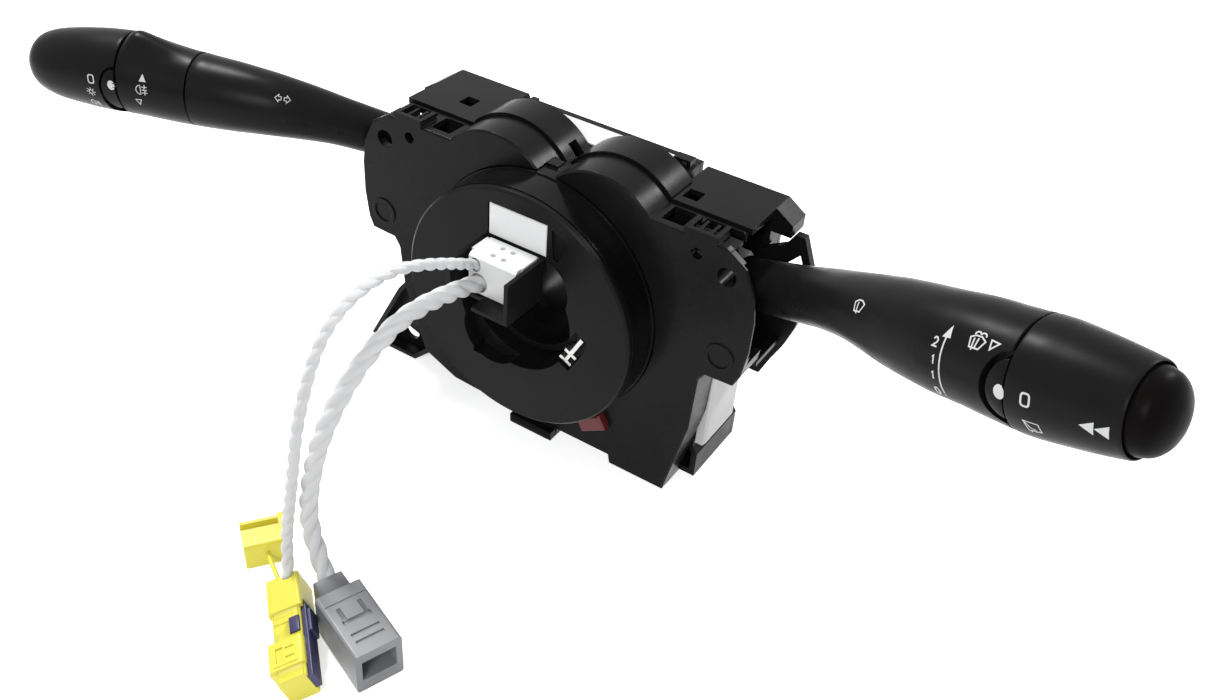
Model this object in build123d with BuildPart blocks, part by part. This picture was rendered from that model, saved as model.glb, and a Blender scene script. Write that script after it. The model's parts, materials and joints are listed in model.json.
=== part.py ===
"""Combination stalk switch for a steering column.

A moulded housing clamps round the column.  It carries a rotary contact unit (clock spring) on its
front, a light stalk on the left and a wiper stalk on the right.

Frame: +X to the right as the driver sees it, +Y away from the driver, +Z up.  The origin is on the
column axis, level with the front face of the housing.  Millimetres.
"""
from build123d import *
from math import atan2, cos, degrees, hypot, radians, sin, tan
import os

os.makedirs("parts", exist_ok=True)

# ---------------------------------------------------------------- driving dimensions
WALL = 2.2                # moulded wall
FIT = 0.3                 # gap between moulded pieces of one body
RUN = 0.08                # radial running clearance of shafts and pins
BASE_Z = -62.5            # the plane that the housing stands on

# housing
PLATE_T = 3.0             # front plate
FRONT_DEPTH = 13.0        # front shell, front face to seam
REAR_Y = 41.0             # back of the rear shell
TOP_Z = 44.5
EAR_X = 78.9              # half width over the mounting ears
HUMP_X = 20.5             # the two barrels on top
HUMP_Z = 29.0
HUMP_R = 24.0
BARREL_R = 25.2           # the barrels behind the seam
HUMP_BACK_Y = 27.0
EAR_HOLE = (67.6, 34.9)
EAR_HOLE_R = 3.3
PEG_HOLE = (56.5, 39.0)
PEG_HOLE_R = 2.0
EAR_BOSS = (69.6, 4.8)

# rotary contact unit
DRUM_R = 45.0             # drum wall at the front
DRUM_FOOT_R = DRUM_R + 0.8  # drum wall where it meets the plate
DRUM_WALL = 2.0
FACE_Y = -15.1            # front of the rotor
FACE_T = 2.2
FACE_GAP = 0.5            # gap between rotor face and drum wall
BORE_R = 22.6             # bore through the rotor
HUB_WALL = 1.8
HUB_BACK_Y = 6.0
LOBE_REACH = 28.3         # the bore's two drive lobes
LOBE_HALF_W = 12.0
LOBE_ANGLE = 57.0
HUB_FRONT_R = LOBE_REACH + 2.6
COIL_R = (HUB_FRONT_R + 0.5, DRUM_R - DRUM_WALL - 0.6)
COIL_Y = (FACE_Y + FACE_T + 1.3, 2.8)
COIL_TURNS = 4
TRAY_X = (-12.4, 11.5)
TRAY_Z = (10.5, 25.8)
TRAY_FRONT_Y = -35.0
TRAY_WALL = 1.5
WINDOW_X = (-11.3, 11.8)
WINDOW_Z = (TRAY_Z[1] + FIT, DRUM_R - 6.6)

# column sleeve
SLEEVE_R = 19.0           # bore that the column tube goes through
SLEEVE_WALL = 2.4
SLEEVE_FRONT_Y = -4.0
SLEEVE_BACK_Y = 58.0

# stalks: pivots, axis of the outer end and the neck
PIVOT_X = DRUM_R + 3.0    # up and down pivot, along Y, beside the drum
PULL_X = PIVOT_X + 11.0   # pull pivot, along Z
PIVOT_Y = 23.0
PIVOT_Z = 19.0
PIN_R = 2.5
YOKE_W = 15.0
YOKE_H = 17.0
TAIL_H = 8.0
GRIP_R = 14.5             # stalk radius at the knobs
SPIGOT_R = 9.0
SHAFT_R = 4.0
COLLAR_R = 13.2
COLLAR_L = 6.6
SPLIT_GAP = 0.5           # visible gap between knobs
BUTTON_TRAVEL = 2.0

# cords
CORD_A_D = 3.8
CORD_B_D = 6.0


def front(y):
    """Plane that looks at the housing from the driver's side, at depth y."""
    return Plane(origin=(0, y, 0), x_dir=(1, 0, 0), z_dir=(0, -1, 0))


def save(part, label):
    """Label a finished piece and write its STEP file."""
    part.label = label
    export_step(part, f"parts/{label}.step")


def section(point, direction):
    """Plane square to a direction, its local Y axis upwards."""
    along = Vector(*direction).normalized()
    side = Vector(0, 0, 1).cross(along).normalized()
    return Plane(origin=point, x_dir=side, z_dir=along)


def mirrored(points):
    """The same outline on the other side of the column."""
    return [(-x, z) for x, z in reversed(points)]


# ---------------------------------------------------------------- housing outlines
ear_right = [
    (66.0, TOP_Z), (73.6, 39.6), (EAR_X - 1.3, 31.0), (EAR_X, 22.0), (EAR_X, 10.0),
    (EAR_X - 1.4, 0.0), (EAR_X - 3.4, -4.4), (65.5, -4.8), (63.4, -8.0),
]
skirt_right = [(62.6, -30.0), (56.0, BASE_Z), (33.4, BASE_Z), (32.6, -58.8), (10.2, -58.8), (9.6, BASE_Z)]
skirt_left = [(-9.0, BASE_Z), (-9.8, -59.4), (-37.5, -58.0), (-52.0, -51.5), (-61.6, -24.0)]

with BuildSketch() as shell_outline:
    Polygon(*ear_right, *skirt_right, *skirt_left, *mirrored(ear_right), align=None)
    with Locations((-HUMP_X, HUMP_Z), (HUMP_X, HUMP_Z)):
        Circle(HUMP_R)

with BuildSketch() as shell_inside:
    Polygon(*ear_right, *skirt_right, *skirt_left, *mirrored(ear_right), align=None)
    offset(amount=-WALL, kind=Kind.INTERSECTION, mode=Mode.REPLACE)
    with Locations((-HUMP_X, HUMP_Z), (HUMP_X, HUMP_Z)):
        Circle(HUMP_R - WALL)

# ---------------------------------------------------------------- front housing
LATCH_X = (45.5, 57.0, 64.6)
LATCH_W = 8.0
RAIL_X = (51.4, 63.0)
RAIL_Z = 46.8
RAIL_H = 5.0
RAIL_D = 8.6
RAIL_WALL = 1.6
TONGUE_X = 65.4
TOE_X = (-9.0, 9.6)
TOE_D = 4.0
TOE_H = 3.6
foot_outline = [(-62.6, -24.0), (-68.0, -31.0), (-83.0, -59.0), (-75.0, BASE_Z), (-61.0, BASE_Z), (-50.0, -52.4)]
FOOT_Y = 4.0
FOOT_D = 8.0
FOOT_RIM = 1.8
FOOT_HOLE = (-67.4, -55.0)
FOOT_HOLE_R = 3.7
GATE_Z = (4.0, 46.0)
GATE_RELIEF = 1.7         # the plate is thinner where the necks swing forward
FLANGE_HOLE_R = DRUM_FOOT_R + FIT
PIVOT_BOSS_R = PIN_R + 2.4
LOCK_ANGLE = -60.0
LOCK_R = DRUM_FOOT_R + 6.2
LOCK_SIZE = (11.0, 6.4)

with BuildPart() as front_housing:
    with BuildSketch(front(0)):
        add(shell_outline.sketch)
    extrude(amount=-FRONT_DEPTH)
    chamfer(front_housing.faces().sort_by(Axis.Y)[0].edges(), length=0.6)
    with BuildSketch(front(PLATE_T)):
        add(shell_inside.sketch)
    extrude(amount=-FRONT_DEPTH, mode=Mode.SUBTRACT)
    # collar of the drum opening
    with BuildSketch(front(PLATE_T)):
        Circle(FLANGE_HOLE_R + WALL)
        add(shell_outline.sketch, mode=Mode.INTERSECT)
    extrude(amount=-4.0)
    with BuildSketch(front(-1)):
        Circle(FLANGE_HOLE_R)
    extrude(amount=-12.0, mode=Mode.SUBTRACT)
    # sockets of the stalk pivots and the ear bosses
    with BuildSketch(front(PLATE_T)):
        with Locations((-PIVOT_X, PIVOT_Z), (PIVOT_X, PIVOT_Z)):
            Circle(PIVOT_BOSS_R)
        for side in (-1, 1):
            with Locations((side * EAR_HOLE[0], EAR_HOLE[1])):
                Circle(EAR_HOLE_R + WALL)
    extrude(amount=-5.0)
    with BuildSketch(front(0)):
        for side in (-1, 1):
            with Locations((side * EAR_BOSS[0], EAR_BOSS[1])):
                Circle(5.2)
                Circle(3.9, mode=Mode.SUBTRACT)
    extrude(amount=0.5)
    with BuildSketch(front(-1)):
        for side in (-1, 1):
            with Locations((side * EAR_HOLE[0], EAR_HOLE[1])):
                Circle(EAR_HOLE_R)
            with Locations((side * PEG_HOLE[0], PEG_HOLE[1])):
                Circle(PEG_HOLE_R)
    extrude(amount=-12.0, mode=Mode.SUBTRACT)
    with BuildSketch(front(PLATE_T)):
        with Locations((-PIVOT_X, PIVOT_Z), (PIVOT_X, PIVOT_Z)):
            Circle(PIN_R + 0.02)
    extrude(amount=-6.0, mode=Mode.SUBTRACT)
    # gates in the side walls that the stalk necks pass through
    for side in (-1, 1):
        with Locations((side * EAR_X, PLATE_T + FRONT_DEPTH / 2, sum(GATE_Z) / 2)):
            Box(24.0, FRONT_DEPTH, GATE_Z[1] - GATE_Z[0], mode=Mode.SUBTRACT)
        with Locations((side * EAR_X, PLATE_T, PIVOT_Z + 5.0)):
            Box(17.0, 2 * GATE_RELIEF, 33.0, mode=Mode.SUBTRACT)
    # latch windows in the top wall
    for side in (-1, 1):
        for x in LATCH_X:
            with Locations((side * x, 7.4, TOP_Z)):
                Box(LATCH_W, 8.8, 3 * WALL, mode=Mode.SUBTRACT)
    # raised latch rail on the rim, open to the back between its ribs
    for side in (-1, 1):
        with Locations((side * sum(RAIL_X) / 2, RAIL_D / 2, RAIL_Z - RAIL_H / 2)):
            Box(RAIL_X[1] - RAIL_X[0], RAIL_D, RAIL_H)
        with Locations((side * sum(RAIL_X) / 2, RAIL_D / 2 + RAIL_WALL, RAIL_Z)):
            Box(RAIL_X[1] - RAIL_X[0] - 2 * RAIL_WALL, RAIL_D, 2 * RAIL_H - 2 * RAIL_WALL, mode=Mode.SUBTRACT)
        for share in (1 / 3, 2 / 3):
            with Locations((side * (RAIL_X[0] + share * (RAIL_X[1] - RAIL_X[0])), RAIL_D / 2, RAIL_Z - RAIL_H / 2 - 0.4)):
                Box(1.0, RAIL_D, RAIL_H - 0.8)
        with Locations((side * TONGUE_X, 4.3, TOP_Z - 1.6)):
            Box(4.4, 8.6, 1.4)
    # toe under the drum
    with Locations((sum(TOE_X) / 2, -TOE_D / 2 + 0.5, BASE_Z + TOE_H / 2)):
        Box(TOE_X[1] - TOE_X[0], TOE_D + 1.0, TOE_H)
    chamfer(front_housing.faces().sort_by(Axis.Y)[0].edges(), length=1.2)
    # gusseted foot on the left: a web with a rim round it and a rounded opening
    with BuildSketch(front(FOOT_Y)):
        Polygon(*foot_outline, align=None)
        add(shell_inside.sketch, mode=Mode.SUBTRACT)
    extrude(amount=-FOOT_D)
    with BuildSketch(front(FOOT_Y)):
        Polygon(*foot_outline, align=None)
        offset(amount=-FOOT_RIM, kind=Kind.INTERSECTION, mode=Mode.REPLACE)
        add(shell_outline.sketch, mode=Mode.SUBTRACT)
    extrude(amount=-(FOOT_D - FOOT_RIM), mode=Mode.SUBTRACT)
    with BuildSketch(front(FOOT_Y)):
        with Locations(FOOT_HOLE):
            Circle(FOOT_HOLE_R)
            with Locations((0, FOOT_HOLE_R)):
                Rectangle(4 * FOOT_HOLE_R, 1.2 * FOOT_HOLE_R, rotation=-20, mode=Mode.SUBTRACT)
    extrude(amount=-2 * FOOT_D, mode=Mode.SUBTRACT)
    # well of the rotor lock, beside the drum
    with BuildSketch(front(-1)):
        with Locations(Location((LOCK_R * cos(radians(LOCK_ANGLE)), LOCK_R * sin(radians(LOCK_ANGLE)), 0),
                                (0, 0, LOCK_ANGLE + 90))):
            Rectangle(LOCK_SIZE[0] + 2 * FIT, LOCK_SIZE[1] + 2 * FIT)
    extrude(amount=-6.0, mode=Mode.SUBTRACT)
    # ribs behind the corner foot
    with BuildSketch(front(PLATE_T)):
        with Locations((49.5, -56.0)):
            Rectangle(1.6, 9.0)
        with Locations((41.0, -56.0)):
            Rectangle(1.6, 9.0)
    extrude(amount=-(FRONT_DEPTH - PLATE_T - 0.5))
save(front_housing.part, "front_housing")

# ---------------------------------------------------------------- rear housing
COVER_TOP_Z = 45.5
SEAM_Y = FRONT_DEPTH + FIT
REAR_EAR_Y = (31.0, 34.0)
REAR_EAR_RIB_Z = -2.6
rear_ear = [
    (64.0, 28.0), (72.6, 33.0), (75.6, 38.0), (79.0, 38.0), (83.2, 27.6), (83.6, 14.0), (81.8, 3.6),
    (78.7, -5.6), (75.4, -12.4), (72.3, -20.0), (66.5, -20.0), (66.5, -13.6), (58.5, -9.0),
]
rear_ear_window = [(72.0, 24.0), (78.6, 31.4), (80.4, 27.4), (79.4, 22.0)]
CENTRE_HALF = 34.4        # raised middle between the switch covers
REAR_TOP_Z = 44.4
SHOULDER_Z = 32.0
REAR_SIDE_X = 66.2
BULKHEAD_Y = 33.0
BULKHEAD_T = 2.5
BOARD_Y = 38.0
BOARD_T = 1.6
BOARD_SCREWS = [(-42.0, 18.0), (42.0, 18.0), (-42.0, -46.0), (42.0, -46.0)]
rear_right = [
    (CENTRE_HALF, REAR_TOP_Z), (CENTRE_HALF, SHOULDER_Z), (REAR_SIDE_X, SHOULDER_Z), (REAR_SIDE_X, -6.0),
    (60.0, -10.0), (60.0, -49.0), (62.0, -52.0), (62.0, BASE_Z), (46.0, BASE_Z), (42.0, -58.5),
]
with BuildSketch() as rear_outline:
    Polygon(*rear_right, *mirrored(rear_right), align=None)
with BuildSketch() as rear_inside:
    offset(rear_outline.sketch, amount=-WALL, kind=Kind.INTERSECTION)

with BuildPart() as rear_housing:
    with BuildSketch(front(SEAM_Y)):
        add(rear_outline.sketch)
    extrude(amount=-(REAR_Y - SEAM_Y))
    with BuildSketch(front(SEAM_Y)):
        add(rear_inside.sketch)
    extrude(amount=-(REAR_Y - SEAM_Y), mode=Mode.SUBTRACT)
    # barrels behind the seam
    with BuildSketch(front(SEAM_Y)):
        with Locations((-HUMP_X, HUMP_Z), (HUMP_X, HUMP_Z)):
            Circle(BARREL_R)
        with Locations((0, REAR_TOP_Z - WALL - 60)):
            Rectangle(200, 120, mode=Mode.SUBTRACT)
        for side in (-1, 1):
            with Locations((side * (CENTRE_HALF + 50), COVER_TOP_Z + FIT - 30)):
                Rectangle(100, 60, mode=Mode.SUBTRACT)
    extrude(amount=-(HUMP_BACK_Y - SEAM_Y))
    with BuildSketch(front(SEAM_Y)):
        with Locations((-HUMP_X, HUMP_Z), (HUMP_X, HUMP_Z)):
            Circle(BARREL_R - WALL)
        with Locations((0, REAR_TOP_Z - 3 * WALL - 60)):
            Rectangle(200, 120, mode=Mode.SUBTRACT)
        with Locations((-CENTRE_HALF - 50 + WALL, REAR_TOP_Z), (CENTRE_HALF + 50 - WALL, REAR_TOP_Z)):
            Rectangle(100, 60, mode=Mode.SUBTRACT)
    extrude(amount=-(HUMP_BACK_Y - SEAM_Y - WALL), mode=Mode.SUBTRACT)
    # opening in the valley between the barrels
    with Locations((-1.0, 20.5, REAR_TOP_Z)):
        Box(6.0, 4.4, 3 * WALL, mode=Mode.SUBTRACT)
    # cable loop and prong at the ends of the label
    with Locations((30.4, 37.0, REAR_TOP_Z + 1.4)):
        Box(6.4, 4.0, 3.2)
        Box(3.6, 6.0, 1.4, mode=Mode.SUBTRACT)
    with Locations((-31.8, REAR_Y - 2.4, REAR_TOP_Z + 1.5)):
        Box(2.6, 2.4, 3.4)
    # bulkhead that holds the sleeve and the pivot pins
    with BuildSketch(front(BULKHEAD_Y)):
        add(rear_inside.sketch)
        Circle(SLEEVE_R + SLEEVE_WALL + FIT, mode=Mode.SUBTRACT)
        with Locations((-PIVOT_X, PIVOT_Z), (PIVOT_X, PIVOT_Z)):
            Circle(PIN_R + 0.02, mode=Mode.SUBTRACT)
    extrude(amount=-BULKHEAD_T)
    # gates for the stalk necks
    for side in (-1, 1):
        with Locations((side * REAR_SIDE_X, SEAM_Y + 9.0, (GATE_Z[0] + SHOULDER_Z) / 2 + 1.0)):
            Box(32.0, 22.0, SHOULDER_Z - GATE_Z[0] + 2.0, mode=Mode.SUBTRACT)
    # stiffening ear behind the wiper stalk, with its rib and its window
    with BuildSketch(front(REAR_EAR_Y[0])):
        Polygon(*rear_ear, align=None)
        add(rear_inside.sketch, mode=Mode.SUBTRACT)
        Polygon(*rear_ear_window, align=None, mode=Mode.SUBTRACT)
    extrude(amount=-(REAR_EAR_Y[1] - REAR_EAR_Y[0]))
    with Locations(((REAR_SIDE_X + 77.4) / 2 - WALL / 2, (SEAM_Y + REAR_EAR_Y[1]) / 2, REAR_EAR_RIB_Z)):
        Box(77.4 - REAR_SIDE_X + WALL, REAR_EAR_Y[1] - SEAM_Y, 1.8)
    # screw pillars in the corners
    with BuildSketch(front(BULKHEAD_Y + BULKHEAD_T)):
        for side in (-1, 1):
            with Locations((side * 54.0, 24.0), (side * 52.0, -50.0)):
                Circle(3.6)
    extrude(amount=-(REAR_Y - BULKHEAD_Y - BULKHEAD_T))
    with BuildSketch(front(REAR_Y)):
        for side in (-1, 1):
            with Locations((side * 54.0, 24.0), (side * 52.0, -50.0)):
                Circle(1.25)
    extrude(amount=7.0, mode=Mode.SUBTRACT)
    # stand-offs of the circuit board
    with BuildSketch(front(BULKHEAD_Y + BULKHEAD_T)):
        with Locations(*BOARD_SCREWS):
            Circle(2.6)
    extrude(amount=-(BOARD_Y - BULKHEAD_Y - BULKHEAD_T - 0.05))
    with BuildSketch(front(BOARD_Y)):
        with Locations(*BOARD_SCREWS):
            Circle(1.15)
    extrude(amount=3.9, mode=Mode.SUBTRACT)
save(rear_housing.part, "rear_housing")

# ---------------------------------------------------------------- rear cover, covers, label
COVER_Y = REAR_Y + FIT
COVER_T = 2.4
SLEEVE_HOLE_R = SLEEVE_R + SLEEVE_WALL + FIT
PILLARS = [(-54.0, 24.0), (54.0, 24.0), (-52.0, -50.0), (52.0, -50.0)]
SOCKET = (-14.0, -42.0)
SOCKET_SIZE = (30.0, 13.0)
SIDES = ((-1, "left"), (1, "right"))

with BuildPart() as rear_cover:
    with BuildSketch(front(COVER_Y)):
        add(rear_outline.sketch)
        Circle(SLEEVE_HOLE_R, mode=Mode.SUBTRACT)
        with Locations(*PILLARS):
            Circle(1.7, mode=Mode.SUBTRACT)
        with Locations(SOCKET):
            Rectangle(SOCKET_SIZE[0] + 2 * FIT, SOCKET_SIZE[1] + 2 * FIT, mode=Mode.SUBTRACT)
    extrude(amount=-COVER_T)
    with BuildSketch(front(COVER_Y + COVER_T)):
        Circle(SLEEVE_HOLE_R + 2.0)
        Circle(SLEEVE_HOLE_R, mode=Mode.SUBTRACT)
        with Locations((-42.0, 0.0), (42.0, 0.0)):
            Rectangle(32.0, 1.6)
        with Locations((30.0, -40.0)):
            Rectangle(1.6, 30.0)
    extrude(amount=-1.6)
save(rear_cover.part, "rear_cover")

with BuildPart() as cover_screws:
    with BuildSketch(front(REAR_Y - 6.5)):
        with Locations(*PILLARS):
            Circle(1.2)
    extrude(amount=-(COVER_Y + COVER_T - REAR_Y + 6.5))
    with BuildSketch(front(COVER_Y + COVER_T + 0.02)):
        with Locations(*PILLARS):
            Circle(2.8)
    extrude(amount=-1.8)
    with BuildSketch(front(COVER_Y + COVER_T)):
        with Locations(*PILLARS):
            Circle(1.2)
    extrude(amount=-0.5)
    with BuildSketch(front(COVER_Y + COVER_T + 0.9)):
        with Locations(*PILLARS):
            Rectangle(3.4, 0.7)
            Rectangle(0.7, 3.4)
    extrude(amount=-2.0, mode=Mode.SUBTRACT)
save(cover_screws.part, "cover_screws")

COVER_IN_X = CENTRE_HALF + FIT
COVER_OUT_X = 68.0
COVER_BACK_Y = {"left": 44.0, "right": 39.6}
COVER_WING = (30.0, 74.6, 41.2)  # sloping outer end: its front, outer edge and height there
WINDOW_AT = {"left": (50.0, 25.0), "right": (43.5, 20.0)}
for side, name in SIDES:
    back = COVER_BACK_Y[name]
    with BuildPart() as switch_cover:
        with BuildSketch(front(SEAM_Y + FIT)):
            Polygon(
                (side * COVER_IN_X, SHOULDER_Z + FIT), (side * COVER_IN_X, 38.5), (side * 38.0, COVER_TOP_Z),
                (side * COVER_OUT_X, COVER_TOP_Z), (side * COVER_OUT_X, SHOULDER_Z + FIT), align=None,
            )
        extrude(amount=-(back - SEAM_Y - FIT))
        with BuildSketch(front(COVER_WING[0])):
            Polygon(
                (side * (COVER_OUT_X - WALL), COVER_TOP_Z), (side * COVER_OUT_X, COVER_TOP_Z),
                (side * COVER_WING[1], COVER_WING[2]), (side * COVER_WING[1], COVER_WING[2] - 4.4),
                (side * (COVER_OUT_X - WALL), COVER_WING[2] - 4.4), align=None,
            )
        extrude(amount=-(back - COVER_WING[0]))
        with Locations((side * (COVER_IN_X + COVER_OUT_X) / 2, (SEAM_Y + back) / 2, 34.0)):
            Box(COVER_OUT_X - COVER_IN_X - 2 * WALL, back - SEAM_Y - 2 * WALL, 10.0, mode=Mode.SUBTRACT)
        with Locations((side * (COVER_IN_X + COVER_OUT_X + 3.0) / 2, (SEAM_Y + back) / 2, 41.0)):
            Box(COVER_OUT_X - COVER_IN_X - 2 * WALL - 3, back - SEAM_Y - 2 * WALL, 5.0, mode=Mode.SUBTRACT)
        with Locations((side * 66.5, SEAM_Y + 7.0, SHOULDER_Z + 4.9)):
            Box(19.0, 17.0, 12.8, mode=Mode.SUBTRACT)
        with Locations((side * WINDOW_AT[name][0], WINDOW_AT[name][1], COVER_TOP_Z)):
            Box(5.5, 6.0, 3 * WALL, mode=Mode.SUBTRACT)
    save(switch_cover.part, f"{name}_switch_cover")

with BuildPart() as label_plate:
    with Locations((-1.5, (HUMP_BACK_Y + REAR_Y) / 2, REAR_TOP_Z + 0.3)):
        Box(55.0, REAR_Y - HUMP_BACK_Y - 2.0, 0.5)
save(label_plate.part, "label_plate")

# ---------------------------------------------------------------- sleeve and its clamp
BAND_Y = (50.5, 57.0)
BAND_EAR_Z = 32.0
with BuildPart() as column_sleeve:
    with BuildSketch(front(SLEEVE_FRONT_Y)):
        Circle(SLEEVE_R + SLEEVE_WALL)
        Circle(SLEEVE_R, mode=Mode.SUBTRACT)
    extrude(amount=-(SLEEVE_BACK_Y - SLEEVE_FRONT_Y))
    with Locations((0, SLEEVE_BACK_Y, 0)):
        Box(60.0, 16.0, 2.0, mode=Mode.SUBTRACT)
        Box(2.0, 16.0, 60.0, mode=Mode.SUBTRACT)
save(column_sleeve.part, "column_sleeve")

with BuildPart() as clamp_band:
    with BuildSketch(front(BAND_Y[0])):
        Circle(SLEEVE_R + SLEEVE_WALL + 2.2)
        with Locations((0, BAND_EAR_Z / 2)):
            Rectangle(8.0, BAND_EAR_Z)
        Circle(SLEEVE_R + SLEEVE_WALL + 0.05, mode=Mode.SUBTRACT)
        with Locations((0, BAND_EAR_Z / 2)):
            Rectangle(2.4, BAND_EAR_Z, mode=Mode.SUBTRACT)
    extrude(amount=-(BAND_Y[1] - BAND_Y[0]))
    with Locations((0, sum(BAND_Y) / 2, BAND_EAR_Z - 4.0)):
        Cylinder(1.6, 20.0, rotation=(0, 90, 0), mode=Mode.SUBTRACT)
save(clamp_band.part, "clamp_band")

with BuildPart() as clamp_screw:
    with Locations((0, sum(BAND_Y) / 2, BAND_EAR_Z - 4.0)):
        Cylinder(1.5, 18.0, rotation=(0, 90, 0))
    with Locations((6.0, sum(BAND_Y) / 2, BAND_EAR_Z - 4.0), (-5.6, sum(BAND_Y) / 2, BAND_EAR_Z - 4.0)):
        Cylinder(3.0, 2.8, rotation=(0, 90, 0))
save(clamp_screw.part, "clamp_screw")

# ---------------------------------------------------------------- electrics
with BuildPart() as circuit_board:
    with BuildSketch(front(BOARD_Y)):
        with Locations((0, -15.0)):
            Rectangle(96.0, 82.0)
        Circle(SLEEVE_HOLE_R + 2.0, mode=Mode.SUBTRACT)
        with Locations(*BOARD_SCREWS):
            Circle(1.3, mode=Mode.SUBTRACT)
    extrude(amount=-BOARD_T)
save(circuit_board.part, "circuit_board")

with BuildPart() as board_screws:
    with BuildSketch(front(BOARD_Y - 3.6)):
        with Locations(*BOARD_SCREWS):
            Circle(1.1)
    extrude(amount=-(BOARD_T + 3.7))
    with BuildSketch(front(BOARD_Y + BOARD_T + 0.02)):
        with Locations(*BOARD_SCREWS):
            Circle(2.1)
    extrude(amount=-1.2)
save(board_screws.part, "board_screws")

with BuildPart() as rear_connector:
    with BuildSketch(front(BOARD_Y + BOARD_T + 0.05)):
        with Locations(SOCKET):
            Rectangle(*SOCKET_SIZE)
    extrude(amount=-15.0)
    with BuildSketch(front(BOARD_Y + BOARD_T + 3.0)):
        with Locations(SOCKET):
            Rectangle(SOCKET_SIZE[0] - 3.2, SOCKET_SIZE[1] - 3.2)
    extrude(amount=-16.0, mode=Mode.SUBTRACT)
    with BuildSketch(front(BOARD_Y)):
        with Locations(SOCKET):
            with GridLocations(4.0, 4.0, 6, 2):
                Rectangle(0.84, 0.84)
    extrude(amount=-6.0, mode=Mode.SUBTRACT)
save(rear_connector.part, "rear_connector")

with BuildPart() as connector_pins:
    with BuildSketch(front(BOARD_Y + BOARD_T + 0.05)):
        with Locations(SOCKET):
            with GridLocations(4.0, 4.0, 6, 2):
                Rectangle(0.8, 0.8)
    extrude(amount=-11.0)
save(connector_pins.part, "connector_pins")

SIDE_BLOCK_X = 60.3
with BuildPart() as side_connector:
    with Locations((SIDE_BLOCK_X + 1.85, 24.8, -31.0)):
        Box(3.7, 22.4, 32.0)
    chamfer(side_connector.faces().sort_by(Axis.X)[-1].edges(), length=0.8)
save(side_connector.part, "side_connector")

with BuildPart() as pivot_pins:
    with BuildSketch(front(PLATE_T + 0.1)):
        with Locations((-PIVOT_X, PIVOT_Z), (PIVOT_X, PIVOT_Z)):
            Circle(PIN_R)
    extrude(amount=-(BULKHEAD_Y + BULKHEAD_T - PLATE_T))
save(pivot_pins.part, "pivot_pins")

# ---------------------------------------------------------------- rotary contact unit
DRUM_FRONT_Y = FACE_Y + FACE_T + FIT
HUB_STEP_Y = -7.0
CAM_Y = (6.4, 9.6)
HUB_R = BORE_R + HUB_WALL

with BuildPart() as stator_case:
    with BuildSketch(front(9.3)):
        Circle(DRUM_FOOT_R)
    extrude(amount=10.1)
    with BuildSketch(front(-0.8)):
        Circle(DRUM_R + 0.3)
    extrude(amount=-0.8 - DRUM_FRONT_Y, taper=0.6)
    with BuildSketch(front(DRUM_FRONT_Y - 1)):
        Circle(DRUM_R - DRUM_WALL)
    extrude(amount=-(4.0 - DRUM_FRONT_Y), mode=Mode.SUBTRACT)
    with BuildSketch(front(1)):
        Circle(COIL_R[0])
    extrude(amount=-10.0, mode=Mode.SUBTRACT)
    with BuildSketch(front(5.0)):
        Circle(DRUM_R - DRUM_WALL)
    extrude(amount=-6.0, mode=Mode.SUBTRACT)
    with BuildSketch(front(FRONT_DEPTH - 5.7)):
        for turn in (205, 270, 335):
            lug = DRUM_FOOT_R + 1.2
            with Locations(Location((lug * cos(radians(turn)), lug * sin(radians(turn)), 0), (0, 0, turn))):
                Rectangle(5.0, 16.0)
    extrude(amount=-1.9)
    # index block on the foot, in the valley between the barrels
    with Locations((-1.0, 7.0, DRUM_FOOT_R + 0.2)):
        Box(4.6, 4.0, 1.6)
save(stator_case.part, "stator_case")

with BuildPart() as ribbon_coil:
    with BuildSketch(front(COIL_Y[0])):
        Circle(COIL_R[1])
        Circle(COIL_R[0] + 0.4, mode=Mode.SUBTRACT)
    extrude(amount=COIL_Y[0] - COIL_Y[1])
    for turn in range(1, COIL_TURNS):
        groove = COIL_R[0] + turn * (COIL_R[1] - COIL_R[0]) / COIL_TURNS
        with BuildSketch(front(COIL_Y[0])):
            Circle(groove + 0.7)
            Circle(groove - 0.7, mode=Mode.SUBTRACT)
        extrude(amount=COIL_Y[0] - COIL_Y[1] + 1.8, mode=Mode.SUBTRACT)
save(ribbon_coil.part, "ribbon_coil")

with BuildSketch() as drive_bore:
    Circle(BORE_R)
    with Locations(Location((0, 0, 0), (0, 0, LOBE_ANGLE))):
        SlotOverall(2 * LOBE_REACH, 2 * LOBE_HALF_W)

KEY_AT = (23.8, -5.9)
KEY_SIZE = (16.4, 6.4)
KEY_TURN = 62.0

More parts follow.
